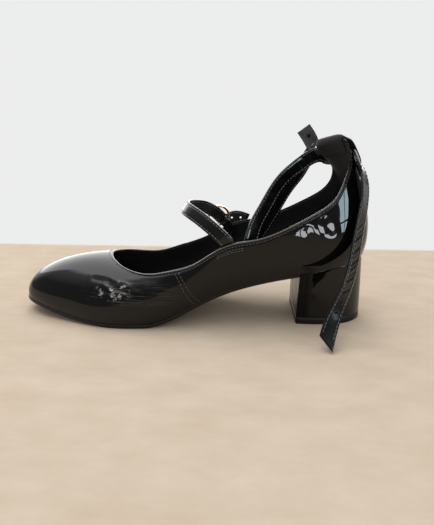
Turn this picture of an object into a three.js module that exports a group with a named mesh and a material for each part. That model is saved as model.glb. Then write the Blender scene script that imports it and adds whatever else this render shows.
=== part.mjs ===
// A right-foot mary jane shoe in black patent leather on a block heel, standing empty on the floor.
// Millimetres, Z up. X runs from the toe (minus) to the heel (plus) and Y from the medial side
// (minus) to the lateral side (plus). The origin is on the floor, in the heel's walking face.

import * as THREE from 'three';
import { mergeVertices } from 'three/addons/utils/BufferGeometryUtils.js';

const LENGTH = 252; // toe tip to the back of the heel counter
const BALL_WIDTH = 74; // of the sole, at the ball of the foot
const SEAT_HEIGHT = 45.6; // underside of the heel seat at its back
const INSTEP_HEIGHT = 41.5; // throat above the sole
const ORIGIN_FROM_TOE = 225;

const GAP = 0.3; // between pieces that are glued or sewn together
const WALL = 1.8; // outer leather and lining together
const SOLE_THICKNESS = 2.8;
const SOLE_REVEAL = 0.8; // how far the forefoot's sole edge stands out of the upper
const SHANK_INSET = 0.4; // how far it draws in under the arch
const INSOLE_THICKNESS = 2.2;

const HEEL_BREAST = 203.6; // from the toe tip
const HEEL_FOOT_LENGTH = 49;
const HEEL_FOOT_WIDTH = 39.4;
const TOP_PIECE_THICKNESS = 5;

const INSTEP_STRAP_WIDTH = 9.6;
const BUCKLE_STRAP_WIDTH = 7;
const ANKLE_STRAP_WIDTH = 10.4;
const STRAP_THICKNESS = 1.5;
const BUCKLE_STRAP_THICKNESS = 1.2;

// How far each edge of the ankle strap leads or trails its middle at an end.
const TAIL_CUT = 3.9;
const SHORT_END_CUT = -0.3;

const RING_RADIUS = 7.7; // to the middle of the wire
const RING_WIRE = 0.95;

const LOOP_THICKNESS = 1;

// The last that the tables below were drawn for; other driving dimensions stretch them.
const LAST = { length: 252, ballWidth: 74, seatHeight: 45.6, instepHeight: 41.5 };

const along = (station) => station * LENGTH / LAST.length - ORIGIN_FROM_TOE;
const across = (offset) => offset * BALL_WIDTH / LAST.ballWidth;
const stationAt = (x) => (x + ORIGIN_FROM_TOE) * LAST.length / LENGTH;

// Underside of the sole: toe spring, flat tread at the ball, arch and heel seat.
const GROUND = [
  { station: 0, height: 9.3 },
  { station: 12, height: 7.5 },
  { station: 25, height: 5.2 },
  { station: 40, height: 2.6 },
  { station: 56, height: 1 },
  { station: 72, height: 0 },
  { station: 96, height: 0 },
  { station: 106, height: 1.8 },
  { station: 116, height: 5.2 },
  { station: 130, height: 11.8 },
  { station: 148, height: 20.4 },
  { station: 170, height: 28.4 },
  { station: 196, height: 35.4 },
  { station: 220, height: 40.2 },
  { station: 252, height: 45.6 },
];

// Feather line, where upper meets sole, from the middle of the toe to the middle of the heel.
const FEATHER = [
  { station: 0, medial: 2, lateral: 2 },
  { station: 2.6, medial: -7, lateral: 11 },
  { station: 10.5, medial: -13.6, lateral: 18.2 },
  { station: 24, medial: -20, lateral: 25.4 },
  { station: 42, medial: -26, lateral: 32 },
  { station: 64, medial: -32, lateral: 38.2 },
  { station: 88, medial: -33.3, lateral: 40.5 },
  { station: 111, medial: -29.8, lateral: 38.8 },
  { station: 134, medial: -24, lateral: 34.6 },
  { station: 157, medial: -21.8, lateral: 29.8 },
  { station: 178, medial: -22.2, lateral: 26.6 },
  { station: 198, medial: -23.4, lateral: 25 },
  { station: 216, medial: -23.8, lateral: 24.3 },
  { station: 232, medial: -20.4, lateral: 20.6 },
  { station: 241.5, medial: -14.8, lateral: 15 },
  { station: 246.4, medial: -9.4, lateral: 9.5 },
  { station: 248.5, medial: -5.6, lateral: 5.7 },
  { station: 249.3, medial: -2.8, lateral: 2.8 },
  { station: 249.5, medial: 0, lateral: 0 },
];

// Collar, row for row with the feather line: the throat, both sides, then the heel tab, which is
// slack and twisted. Height is above the floor.
const COLLAR = [
  { medial: [66.6, 5, 44.6], lateral: [66.6, 5, 44.6] },
  { medial: [69, -4, 44], lateral: [67.2, 12, 43.4] },
  { medial: [74, -11.5, 42.4], lateral: [70.5, 18.5, 41.9] },
  { medial: [81, -18, 40.5], lateral: [76, 24.5, 40.2] },
  { medial: [91, -24, 39.2], lateral: [86, 29, 38.3] },
  { medial: [103, -28, 39.7], lateral: [99, 31.5, 38] },
  { medial: [117, -29.5, 42.8], lateral: [115, 32, 42.6] },
  { medial: [131, -29.3, 47.2], lateral: [131, 31.5, 48.3] },
  { medial: [145, -28.5, 56], lateral: [145, 30.5, 55.5] },
  { medial: [159, -28.2, 62.2], lateral: [159, 29.5, 62.3] },
  { medial: [176, -28, 65.6], lateral: [175, 29, 66] },
  { medial: [195, -27.3, 73.8], lateral: [194, 27.6, 73] },
  { medial: [212, -24.5, 82.8], lateral: [211, 24.5, 82.3] },
  { medial: [223.5, -19.8, 91], lateral: [222.5, 19.3, 91.3] },
  { medial: [229.8, -14.5, 103], lateral: [227, 15.2, 103] },
  { medial: [232.4, -11.4, 115], lateral: [222.6, 14.5, 115] },
  { medial: [229.4, -10.2, 125.4], lateral: [217, 14.2, 121.3] },
  { medial: [225.8, -6.5, 128.4], lateral: [216.6, 10.6, 124.3] },
  { medial: [221.2, 2, 126.7], lateral: [221.2, 2, 126.7] },
];

// How the wall swells between feather and collar: the lower handle stands out and up from the
// feather line, the upper one lies back towards the toe by a share, out and down from the collar.
const SWELL = [
  { lowOut: 1.5, lowUp: 18, share: 0.55, medialOut: 0, lateralOut: 0, highDown: 0.3 },
  { lowOut: 1.6, lowUp: 17.5, share: 0.53, medialOut: 0, lateralOut: 0, highDown: 0.6 },
  { lowOut: 2, lowUp: 16.5, share: 0.47, medialOut: 1, lateralOut: 1, highDown: 1.6 },
  { lowOut: 2.6, lowUp: 15, share: 0.38, medialOut: 2, lateralOut: 2.2, highDown: 3 },
  { lowOut: 3.4, lowUp: 14, share: 0.26, medialOut: 3.5, lateralOut: 4, highDown: 6 },
  { lowOut: 4.2, lowUp: 13, share: 0.16, medialOut: 5, lateralOut: 6.5, highDown: 10 },
  { lowOut: 4.6, lowUp: 13, share: 0.1, medialOut: 5.5, lateralOut: 8, highDown: 13 },
  { lowOut: 4.8, lowUp: 13, share: 0.06, medialOut: 4.5, lateralOut: 7, highDown: 14 },
  { lowOut: 5.4, lowUp: 13, share: 0.04, medialOut: 3.5, lateralOut: 4.5, highDown: 14 },
  { lowOut: 6, lowUp: 12.5, share: 0, medialOut: 2.4, lateralOut: 3, highDown: 13 },
  { lowOut: 6, lowUp: 12, share: 0, medialOut: 1.8, lateralOut: 2, highDown: 12 },
  { lowOut: 5.6, lowUp: 13, share: 0, medialOut: 2.2, lateralOut: 2.2, highDown: 13 },
  { lowOut: 5.2, lowUp: 15, share: 0, medialOut: 3.6, lateralOut: 3.6, highDown: 16 },
  { lowOut: 5.8, lowUp: 19, share: 0.2, medialOut: 4.6, lateralOut: 4.6, highDown: 19 },
  { lowOut: 6.6, lowUp: 22, share: 0.45, medialOut: 3.4, lateralOut: 3.4, highDown: 21 },
  { lowOut: 7.2, lowUp: 24, share: 0.58, medialOut: 1.2, lateralOut: 1.2, highDown: 22 },
  { lowOut: 7.4, lowUp: 25, share: 0.6, medialOut: 0.4, lateralOut: 0.4, highDown: 23 },
  { lowOut: 7.5, lowUp: 25, share: 0.62, medialOut: 0, lateralOut: 0, highDown: 23.6 },
  { lowOut: 7.5, lowUp: 25, share: 0.64, medialOut: 0, lateralOut: 0, highDown: 23.6 },
];

const LAST_ROW = FEATHER.length - 1;

// A smooth value from a table's column, never past its neighbouring rows.
function tableAt(table, column, station) {
  const count = table.length;
  const slope = (i) => {
    if (i === 0 || i === count - 1) return 0;
    const before = (table[i][column] - table[i - 1][column]) / (table[i].station - table[i - 1].station);
    const after = (table[i + 1][column] - table[i][column]) / (table[i + 1].station - table[i].station);
    return before * after > 0 ? 2 * before * after / (before + after) : 0;
  };
  let i = 0;
  while (i < count - 2 && station > table[i + 1].station) i += 1;
  const span = table[i + 1].station - table[i].station;
  const t = Math.min(Math.max((station - table[i].station) / span, 0), 1);
  const endSlope = i + 1 === count - 1 ? (table[i + 1][column] - table[i][column]) / span : slope(i + 1);
  const startSlope = i === 0 ? (table[1][column] - table[0][column]) / span : slope(i);
  const stay = (1 + 2 * t) * (1 - t) * (1 - t);
  const leave = t * (1 - t) * (1 - t) * span;
  const arrive = t * t * (t - 1) * span;
  return stay * table[i][column] + leave * startSlope + (1 - stay) * table[i + 1][column] + arrive * endSlope;
}

const groundAt = (station) => tableAt(GROUND, 'height', station) * SEAT_HEIGHT / LAST.seatHeight;
const soleTopAt = (station) => groundAt(station) + SOLE_THICKNESS;

// A cubic spline with continuous curvature through points, at whole numbers of its parameter.
function splineThrough(points, closed) {
  const count = points.length;
  const at = (i) => points[closed ? (i + count) % count : Math.min(Math.max(i, 0), count - 1)];
  const slopes = points.map(() => new THREE.Vector3());
  const slopeAt = (i) => slopes[(i + count) % count];
  for (let round = 0; round < 60; round += 1) {
    for (let i = 0; i < count; i += 1) {
      const isEnd = !closed && (i === 0 || i === count - 1);
      const step = new THREE.Vector3().subVectors(at(i + 1), at(i - 1)).multiplyScalar(3);
      if (isEnd) {
        slopes[i].copy(step).sub(slopes[i === 0 ? 1 : count - 2]).divideScalar(2);
      } else {
        slopes[i].copy(step).sub(slopeAt(i - 1)).sub(slopeAt(i + 1)).divideScalar(4);
      }
    }
  }
  return (u) => {
    const i = closed ? Math.floor(u) : Math.min(Math.max(Math.floor(u), 0), count - 2);
    const t = u - i;
    const stay = (1 + 2 * t) * (1 - t) * (1 - t);
    return new THREE.Vector3()
      .addScaledVector(at(i), stay)
      .addScaledVector(slopeAt(i), t * (1 - t) * (1 - t))
      .addScaledVector(at(i + 1), 1 - stay)
      .addScaledVector(slopeAt(i + 1), t * t * (t - 1));
  };
}

// The rows go round the shoe: medial side from toe to heel, then lateral side back to the toe.
const ROUND = 2 * LAST_ROW;
const rowOf = (i) => (i <= LAST_ROW ? i : ROUND - i);
const sideOf = (i) => (i <= LAST_ROW ? 'medial' : 'lateral');
const roundTheShoe = (pointOf) => Array.from({ length: ROUND }, (_, i) => pointOf(rowOf(i), sideOf(i)));

const featherPoints = roundTheShoe((row, side) => {
  const { station } = FEATHER[row];
  return new THREE.Vector3(along(station), across(FEATHER[row][side]), soleTopAt(station) + GAP);
});
const featherAt = splineThrough(featherPoints, true);

// Level direction out of the shoe at a place on the feather line.
function outwardAt(u) {
  const ahead = featherAt((u + 0.02) % ROUND);
  const behind = featherAt((u - 0.02 + ROUND) % ROUND);
  return new THREE.Vector3(behind.y - ahead.y, ahead.x - behind.x, 0).normalize().negate();
}

const collarPoints = roundTheShoe((row, side) => {
  const [station, offset, height] = COLLAR[row][side];
  const lift = (INSTEP_HEIGHT - LAST.instepHeight) + (SEAT_HEIGHT - LAST.seatHeight) * station / LAST.length;
  return new THREE.Vector3(along(station), across(offset), height + lift);
});
const lowPoints = featherPoints.map((point, i) => {
  const { lowOut, lowUp } = SWELL[rowOf(i)];
  return point.clone().addScaledVector(outwardAt(i), lowOut).add(new THREE.Vector3(0, 0, lowUp));
});
const highPoints = collarPoints.map((point, i) => {
  const swell = SWELL[rowOf(i)];
  const back = new THREE.Vector3().subVectors(featherPoints[i], point).setZ(0).multiplyScalar(swell.share);
  const out = outwardAt(i).multiplyScalar(swell[`${sideOf(i)}Out`]);
  return point.clone().add(back).add(out).add(new THREE.Vector3(0, 0, -swell.highDown));
});
const aboveFeather = [lowPoints, highPoints, collarPoints];
const controlsAt = [featherAt, ...aboveFeather.map((points) => splineThrough(points, true))];

// Outer surface of the upper: u goes round the shoe, v from the feather line (0) to the collar (1).
function upperAt(u, v) {
  const weights = [(1 - v) ** 3, 3 * v * (1 - v) ** 2, 3 * v * v * (1 - v), v ** 3];
  const point = new THREE.Vector3();
  controlsAt.forEach((control, i) => point.addScaledVector(control((u + ROUND) % ROUND), weights[i]));
  return point;
}

function upperNormal(u, v) {
  const step = 0.01;
  const low = Math.max(v - step, 0);
  const high = Math.min(v + step, 1);
  const round = new THREE.Vector3().subVectors(upperAt(u + step, v), upperAt(u - step, v));
  const rise = new THREE.Vector3().subVectors(upperAt(u, high), upperAt(u, low));
  return round.cross(rise).normalize();
}

// A closed solid from quads of points: shared corners are joined and the faces turned outwards.
function solidFromQuads(quads) {
  const corners = [];
  for (const [a, b, c, d] of quads) {
    for (const triangle of [[a, b, c], [a, c, d]]) {
      const [p, q, r] = triangle;
      const isFlat = p.distanceTo(q) < 1e-4 || q.distanceTo(r) < 1e-4 || r.distanceTo(p) < 1e-4;
      if (!isFlat) corners.push(...triangle);
    }
  }
  let volume = 0;
  for (let i = 0; i < corners.length; i += 3) {
    volume += corners[i].dot(new THREE.Vector3().crossVectors(corners[i + 1], corners[i + 2]));
  }
  if (volume < 0) {
    for (let i = 0; i < corners.length; i += 3) {
      [corners[i + 1], corners[i + 2]] = [corners[i + 2], corners[i + 1]];
    }
  }
  return mergeVertices(new THREE.BufferGeometry().setFromPoints(corners), 1e-4);
}

function quadsOfGrid(grid, flip) {
  const quads = [];
  for (let i = 0; i < grid.length - 1; i += 1) {
    for (let j = 0; j < grid[i].length - 1; j += 1) {
      const quad = [grid[i][j], grid[i + 1][j], grid[i + 1][j + 1], grid[i][j + 1]];
      quads.push(flip ? quad.reverse() : quad);
    }
  }
  return quads;
}

// A solid between two grids of points with the same rows and columns. A ring has no end walls.
function solidBetween(front, back, isRing = false) {
  const quads = [...quadsOfGrid(front, false), ...quadsOfGrid(back, true)];
  const lastRow = front.length - 1;
  const lastColumn = front[0].length - 1;
  for (let i = 0; i < lastRow; i += 1) {
    quads.push([front[i + 1][0], front[i][0], back[i][0], back[i + 1][0]]);
    quads.push([front[i][lastColumn], front[i + 1][lastColumn], back[i + 1][lastColumn], back[i][lastColumn]]);
  }
  for (let j = 0; j < lastColumn && !isRing; j += 1) {
    quads.push([front[0][j], front[0][j + 1], back[0][j + 1], back[0][j]]);
    quads.push([front[lastRow][j + 1], front[lastRow][j], back[lastRow][j], back[lastRow][j + 1]]);
  }
  return solidFromQuads(quads);
}

const steps = (count, from, to) => Array.from({ length: count + 1 }, (_, i) => from + (to - from) * i / count);

function makeUpper() {
  const roundSteps = steps(ROUND * 3, 0, ROUND).map((u) => u % ROUND);
  const riseSteps = steps(10, 0, 1);
  const outer = roundSteps.map((u) => riseSteps.map((v) => upperAt(u, v)));
  const insideAt = (u, v) => upperAt(u, v).addScaledVector(upperNormal(u, v), -WALL);
  const inner = roundSteps.map((u) => riseSteps.map((v) => insideAt(u, v)));
  return solidBetween(outer, inner, true);
}

// Place on one side's feather line that lies at a station, found by halving.
function roundAtStation(station) {
  let low = 0;
  let high = LAST_ROW;
  while (high - low > 1e-6) {
    const middle = (low + high) / 2;
    if (stationAt(featherAt(middle).x) < station) low = middle;
    else high = middle;
  }
  return low;
}

// Rows of points from the medial edge to the lateral edge, offset out from the feather line.
function crossRows(rounds, columns, outOf, heightOf) {
  return rounds.map((u) => {
    const out = outOf(stationAt(featherAt(u).x));
    const edge = (place) => featherAt(place).addScaledVector(outwardAt(place), out);
    const medial = edge(u % ROUND);
    const lateral = edge((ROUND - u) % ROUND);
    return steps(columns, 0, 1).map((w) => {
      const point = new THREE.Vector3().lerpVectors(medial, lateral, w);
      return point.setZ(heightOf(stationAt(point.x)));
    });
  });
}

function makeInsole() {
  const rounds = steps(LAST_ROW * 3, 0, LAST_ROW);
  const inset = () => -(WALL + GAP + 0.1);
  const top = crossRows(rounds, 4, inset, (station) => soleTopAt(station) + GAP + INSOLE_THICKNESS);
  const bottom = crossRows(rounds, 4, inset, (station) => soleTopAt(station) + GAP);
  return solidBetween(top, bottom);
}

function makeOutsole() {
  const end = roundAtStation(HEEL_BREAST - GAP);
  const rounds = [...steps(3 * Math.floor(end), 0, Math.floor(end)), end];
  const treadEnds = [72, 96].map(roundAtStation);
  const placed = [...rounds, ...treadEnds].sort((a, b) => a - b);
  const out = (station) => THREE.MathUtils.lerp(
    SOLE_REVEAL, -SHANK_INSET, THREE.MathUtils.smoothstep(station, 105, 160));
  const top = crossRows(placed, 4, out, soleTopAt);
  const bottom = crossRows(placed, 4, (station) => out(station) - 0.5, groundAt);
  return solidBetween(top, bottom);
}

// Plan of the heel: straight breast, tapering sides and a round back, from seat (0) to foot (1).
function heelRow(u, taper, height, columns) {
  const breast = roundAtStation(HEEL_BREAST);
  const seatFront = stationAt(featherAt(breast).x);
  const seatLength = FEATHER[LAST_ROW].station - seatFront;
  const seatHalfWidth = -FEATHER[11].medial;
  const place = breast + (LAST_ROW - breast) * u;
  const backShare = (stationAt(featherAt(place).x) - seatFront) / seatLength;
  const footWidthShare = HEEL_FOOT_WIDTH / 2 / seatHalfWidth * (1 + 0.16 * backShare ** 2);
  const corner = (round) => {
    const seat = featherAt(round).addScaledVector(outwardAt(round), -0.2);
    const footX = along(HEEL_BREAST) + backShare * HEEL_FOOT_LENGTH - 0.6;
    return new THREE.Vector3(
      THREE.MathUtils.lerp(seat.x, footX, taper),
      THREE.MathUtils.lerp(seat.y, seat.y * footWidthShare, taper),
      0,
    );
  };
  const medial = corner(place % ROUND);
  const lateral = corner((ROUND - place) % ROUND);
  return steps(columns, 0, 1).map((w) => {
    const point = new THREE.Vector3().lerpVectors(medial, lateral, w);
    return point.setZ(height(stationAt(point.x)));
  });
}

// The block is a stack of plan outlines that runs in from the seat, with a slight hollow.
function makeHeelBlock() {
  const rounds = steps(14, 0, 1);
  const foot = TOP_PIECE_THICKNESS + GAP;
  const levels = steps(4, 0, 1);
  const level = (share) => rounds.map((u) => heelRow(
    u, share ** 0.8, (station) => THREE.MathUtils.lerp(soleTopAt(station), foot, share), 6));
  const grids = levels.map(level);
  const quads = [...quadsOfGrid(grids[0], false), ...quadsOfGrid(grids[grids.length - 1], true)];
  grids.slice(1).forEach((lower, i) => {
    const upper = grids[i];
    const edgeOf = (grid) => [
      ...grid[0].slice().reverse(),
      ...grid.slice(1).map((row) => row[0]),
      ...grid[grid.length - 1].slice(1),
      ...grid.slice(0, -1).reverse().map((row) => row[row.length - 1]),
    ];
    quads.push(...quadsOfGrid([edgeOf(upper), edgeOf(lower)], false));
  });
  return solidFromQuads(quads);
}

function makeTopPiece() {
  const rounds = steps(14, 0, 1);
  const top = rounds.map((u) => heelRow(u, 1, () => TOP_PIECE_THICKNESS, 4));
  const bottom = rounds.map((u) => heelRow(u, 1.01, () => 0, 4));
  return solidBetween(top, bottom);
}

// Straps: each row has the middle of the strap as station, Y and Z, and the way its width lies.
const INSTEP_STRAP_START = [
  { place: [157, -25, 53], side: [1, 0, 0.15] },
  { place: [154.5, -25.4, 60], side: [0.85, 0, 0.5] },
  { place: [149, -25.2, 66.5], side: [0.75, 0, 0.66] },
  { place: [138.5, -19, 74], side: [0.74, 0, 0.67] },
  { place: [129, -11, 78.6], side: [0.66, 0, 0.75] },
  { place: [123.2, -1, 80.4], side: [0.59, 0, 0.81] },
  { place: [125.6, 9.5, 79.8], side: [0.62, 0, 0.78] },
  { place: [133, 19.5, 77], side: [0.68, 0.05, 0.73] },
];
const INSTEP_STRAP_END = [
  { place: [158, 34, 65.6], side: [0.3, 0, 0.95] },
  { place: [168, 35, 63], side: [0.15, 0, 0.99] },
];
const BUCKLE_STRAP_START = [
  { place: [157, 26.3, 53], side: [1, 0, 0.3] },
  { place: [154, 26.2, 58.2], side: [0.85, 0, 0.5] },
];
const TAIL = [
  { place: [217.4, -56.6, 5.7], side: [-0.97, 0, -0.1] },
  { place: [221.2, -49.8, 16.3], side: [-0.95, -0.2, 0] },
  { place: [225.8, -44, 25.5], side: [-0.9, -0.42, 0.15] },
  { place: [231.8, -38, 38.5], side: [-0.8, -0.55, 0.25] },
  { place: [236, -31.5, 52], side: [-0.76, -0.63, 0.15] },
  { place: [238.6, -25.2, 66], side: [-0.74, -0.66, 0.1] },
  { place: [240.8, -20.6, 79], side: [-0.72, -0.68, 0.05] },
  { place: [242, -18, 91], side: [-0.66, -0.74, 0] },
  { place: [241.2, -17.6, 100], side: [-0.62, -0.78, 0.05] },
  { place: [239.4, -17, 107], side: [-0.55, -0.8, 0.25] },
  { place: [237.6, -15, 112.2], side: [-0.5, -0.6, 0.62] },
];
const FRONT_STRAND = [
  { place: [223, 18.6, 113.6], side: [-0.1, 0.4, 0.9] },
  { place: [218, 18.6, 114.8], side: [-0.08, 0.4, 0.9] },
  { place: [212.5, 15, 114.3], side: [-0.22, 0.15, 0.92] },
  { place: [205.9, 11.5, 110.9], side: [-0.5, -0.1, 0.75] },
  { place: [198.9, 8.5, 106.2], side: [-0.66, -0.32, 0.5] },
  { place: [191.9, 5, 100.4], side: [-0.74, -0.46, 0.32] },
  { place: [185.4, 0, 92.5], side: [-0.78, -0.54, 0.16] },
  { place: [178.6, -7, 81.6], side: [-0.82, -0.56, 0.05] },
  { place: [173.2, -13, 72.5], side: [-0.82, -0.57, 0] },
  { place: [169.6, -19, 61.7], side: [-0.85, -0.5, 0] },
  { place: [167.6, -20.4, 50], side: [-0.92, -0.35, 0] },
  { place: [166.6, -16, 41], side: [-0.97, -0.15, 0] },
  { place: [167.6, -8.5, 39.6], side: [-0.99, 0.05, 0] },
  { place: [170, -4, 47], side: [-0.97, -0.15, 0.05] },
  { place: [173, -4, 57.5], side: [-0.93, -0.32, 0.1] },
  { place: [178.6, -1, 67], side: [-0.87, -0.42, 0.2] },
  { place: [185, 4, 76.5], side: [-0.82, -0.46, 0.25] },
  { place: [192, 10, 87.5], side: [-0.78, -0.48, 0.33] },
  { place: [198.8, 15.5, 96.4], side: [-0.72, -0.38, 0.48] },
  { place: [205.6, 21.5, 104.8], side: [-0.68, -0.12, 0.65] },
];
const END_FOLD = {
  start: [212.4, 28.2, 114.6],
  before: [0.65, 0.48, 0.58],
  after: [-0.6, -0.15, 0.78],
  radius: 1.7,
};
const SHORT_END = [
  { place: [211, 25.9, 126], side: [0.78, 0, 0.62] },
  { place: [205.9, 24.5, 132.7], side: [0.78, 0, 0.62] },
];

// The buckle's ring: its middle, the way the straps run through it and its outward side.
const RING_MIDDLE = new THREE.Vector3(along(145.5), across(27), 68);
const RING_RUN = new THREE.Vector3(0.68, 0.2, -0.7).normalize();
const RING_SIDE = new THREE.Vector3(0.72, 0, 0.69).normalize();
const RING_OUT = new THREE.Vector3().crossVectors(RING_SIDE, RING_RUN).normalize();

const vector = ([x, y, z]) => new THREE.Vector3(x, y, z);
const placed = ({ place, side }) => ({
  place: new THREE.Vector3(along(place[0]), place[1], place[2]),
  side: vector(side),
});
const byRing = (run, out) => ({
  place: RING_MIDDLE.clone().addScaledVector(RING_RUN, run).addScaledVector(RING_OUT, out),
  side: RING_SIDE.clone(),
});

// A flat strap with square edges; a cut slants its first and last ends along its length.
function makeStrap(rows, width, thickness, stepsPerRow, startCut = 0, endCut = 0) {
  const placeAt = splineThrough(rows.map((row) => row.place), false);
  const sideAt = splineThrough(rows.map((row) => row.side), false);
  const last = rows.length - 1;
  const sections = steps(last * stepsPerRow, 0, last).map((u) => {
    const [before, after] = [Math.max(u - 0.02, 0), Math.min(u + 0.02, last)].map(placeAt);
    const run = new THREE.Vector3().subVectors(after, before).normalize();
    const side = sideAt(u);
    side.addScaledVector(run, -side.dot(run)).normalize();
    const out = new THREE.Vector3().crossVectors(side, run).multiplyScalar(thickness / 2);
    const cut = u === 0 ? startCut : u === last ? endCut : 0;
    return [-1, 1].map((edge) => {
      const point = placeAt(u).addScaledVector(side, edge * width / 2).addScaledVector(run, edge * cut);
      return { front: point.clone().add(out), back: point.clone().sub(out) };
    });
  });
  const face = (name) => sections.map((section) => section.map((corner) => corner[name]));
  return solidBetween(face('front'), face('back'));
}

// The way round the heel tab between its two edges, and the middle of the ankle strap's tunnel.
const TAB_ROUND = { medial: 16.4, lateral: 19.6 };
// Depths are below the tab's top edge.
const TUNNEL = { from: 16.2, to: 19.5, depthFrom: 13, depthTo: 11.5 };
const STRAP_OUT_OF_TAB = 1.95;
const TAB_RISE = 80; // millimetres of tab to one unit of v, near the top

// A place beside the heel tab: so far below its top edge, and so far out from its outer face.
function besideTab(u, depth, out) {
  const v = 1 - Math.max(depth, 0) / TAB_RISE;
  const point = upperAt(u, v).addScaledVector(upperNormal(u, v), out);
  const up = new THREE.Vector3().subVectors(upperAt(u, 1), upperAt(u, 0.96)).normalize();
  return point.addScaledVector(up, Math.max(-depth, 0));
}

// The loop folds over the tab's top edge and bows out over the ankle strap.
const LOOP_PATH = [
  { depth: 9, out: -3.2 },
  { depth: 3, out: -3.2 },
  { depth: 0.3, out: -2.9 },
  { depth: -2, out: -0.9 },
  { depth: 0.3, out: 1.3 },
  { depth: 3, out: 3.6 },
  { depth: 7, out: 4.5 },
  { depth: 12, out: 4.6 },
  { depth: 17, out: 4.3 },
  { depth: 20.5, out: 2.5 },
  { depth: 24, out: 1.4 },
  { depth: 27, out: 1.4 },
];

function makeHeelLoop() {
  const pathAt = splineThrough(LOOP_PATH.map(({ depth, out }) => new THREE.Vector3(depth, out, 0)), false);
  const rounds = steps(6, TAB_ROUND.medial, TAB_ROUND.lateral);
  const pathSteps = steps((LOOP_PATH.length - 1) * 2, 0, LOOP_PATH.length - 1);
  const middle = rounds.map((u) => pathSteps.map((t) => {
    const path = pathAt(t);
    return besideTab(u, path.x, path.y);
  }));
  const thick = (amount) => middle.map((row, i) => row.map((point, j) => {
    const acrossTab = new THREE.Vector3().subVectors(
      middle[Math.min(i + 1, middle.length - 1)][j], middle[Math.max(i - 1, 0)][j]);
    const [above, below] = [row[Math.max(j - 1, 0)], row[Math.min(j + 1, row.length - 1)]];
    const down = new THREE.Vector3().subVectors(below, above);
    return point.clone().addScaledVector(acrossTab.cross(down).normalize(), amount);
  }));
  return solidBetween(thick(LOOP_THICKNESS / 2), thick(-LOOP_THICKNESS / 2));
}

const tunnelDepth = (u) => (
  THREE.MathUtils.mapLinear(u, TUNNEL.from, TUNNEL.to, TUNNEL.depthFrom, TUNNEL.depthTo)
);
const tunnelRow = (u) => ({
  place: besideTab(u, tunnelDepth(u), STRAP_OUT_OF_TAB),
  side: new THREE.Vector3().subVectors(upperAt(u, 1), upperAt(u, 0.75)).normalize(),
});

// A flat strap that folds over on itself turns half round an axis midway between its old way and its
// new one. The rows go by turn, in radians, from a start, with the fold's axis a radius inside it.
function foldRows(start, before, after, radius, turns) {
  const axis = new THREE.Vector3().addVectors(before, after).normalize();
  const bulge = new THREE.Vector3().subVectors(before, after).normalize();
  const outer = new THREE.Vector3().crossVectors(axis, bulge);
  const advance = before.dot(axis);
  const swing = before.dot(bulge);
  return turns.map((turn) => {
    const out = outer.clone().multiplyScalar(Math.cos(turn)).addScaledVector(bulge, Math.sin(turn));
    const around = bulge.clone().multiplyScalar(Math.cos(turn)).addScaledVector(outer, -Math.sin(turn));
    const run = axis.clone().multiplyScalar(advance).addScaledVector(around, swing);
    const place = start.clone().addScaledVector(out, radius).addScaledVector(outer, -radius);
    place.addScaledVector(axis, radius * turn * advance / swing);
    return { place, side: run.cross(out) };
  });
}

function endFoldRows() {
  const [x, y, z] = END_FOLD.start;
  const [before, after] = [END_FOLD.before, END_FOLD.after].map((way) => vector(way).normalize());
  return foldRows(new THREE.Vector3(along(x), y, z), before, after, END_FOLD.radius, steps(3, 0, Math.PI));
}

function makeAnkleStrap() {
  const rows = [
    ...TAIL.map(placed),
    ...steps(3, TUNNEL.from, TUNNEL.to).map(tunnelRow),
    ...FRONT_STRAND.map(placed),
    ...endFoldRows(),
    ...SHORT_END.map(placed),
  ];
  return makeStrap(rows, ANKLE_STRAP_WIDTH, STRAP_THICKNESS, 4, TAIL_CUT, SHORT_END_CUT);
}

function makeInstepStrap() {
  const through = [byRing(-8, -2.95), byRing(0, 0.9), byRing(8, 4.7)];
  const rows = [...INSTEP_STRAP_START.map(placed), ...through, ...INSTEP_STRAP_END.map(placed)];
  return makeStrap(rows, INSTEP_STRAP_WIDTH, STRAP_THICKNESS, 4);
}

function makeBuckleStrap() {
  const under = [byRing(8.6, -2.8), byRing(5.8, -1.9), byRing(4.6, 0)];
  const over = [byRing(5.8, 1.8), byRing(9.5, 2.1), byRing(14, 2.3)];
  const rows = [...BUCKLE_STRAP_START.map(placed), ...under, ...over];
  return makeStrap(rows, BUCKLE_STRAP_WIDTH, BUCKLE_STRAP_THICKNESS, 4);
}

function makeRing() {
  const ring = new THREE.TorusGeometry(RING_RADIUS, RING_WIRE, 8, 36);
  const axis = new THREE.Vector3().crossVectors(RING_RUN, RING_SIDE);
  const turn = new THREE.Matrix4().makeBasis(RING_RUN, RING_SIDE, axis);
  ring.applyMatrix4(turn.setPosition(RING_MIDDLE));
  ring.deleteAttribute('normal');
  ring.deleteAttribute('uv');
  return mergeVertices(ring, 1e-4);
}

function makeProng() {
  return makeStrap([byRing(3, 4.2), byRing(-2, 3.1), byRing(-6, 2.2), byRing(-8.9, 1.8)], 1.8, 1, 3);
}

const LEATHER = { color: 0x0b0b0c, roughness: 0.12, metalness: 0 };
const LINING = { color: 0x141415, roughness: 0.85, metalness: 0 };
const RUBBER = { color: 0x111111, roughness: 0.7, metalness: 0 };
const GOLD = { color: 0xd9a978, roughness: 0.22, metalness: 1 };

const shoe = new THREE.Group();

function add(name, geometry, finish) {
  const mesh = new THREE.Mesh(geometry, new THREE.MeshStandardMaterial(finish));
  mesh.name = name;
  shoe.add(mesh);
}

add('upper', makeUpper(), LEATHER);
add('insole', makeInsole(), LINING);
add('outsole', makeOutsole(), RUBBER);
add('heel_block', makeHeelBlock(), LEATHER);
add('top_piece', makeTopPiece(), RUBBER);
add('heel_loop', makeHeelLoop(), LINING);
add('ankle_strap', makeAnkleStrap(), LEATHER);
add('instep_strap', makeInstepStrap(), LEATHER);
add('buckle_strap', makeBuckleStrap(), LEATHER);
add('buckle_ring', makeRing(), GOLD);
add('buckle_prong', makeProng(), GOLD);

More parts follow.
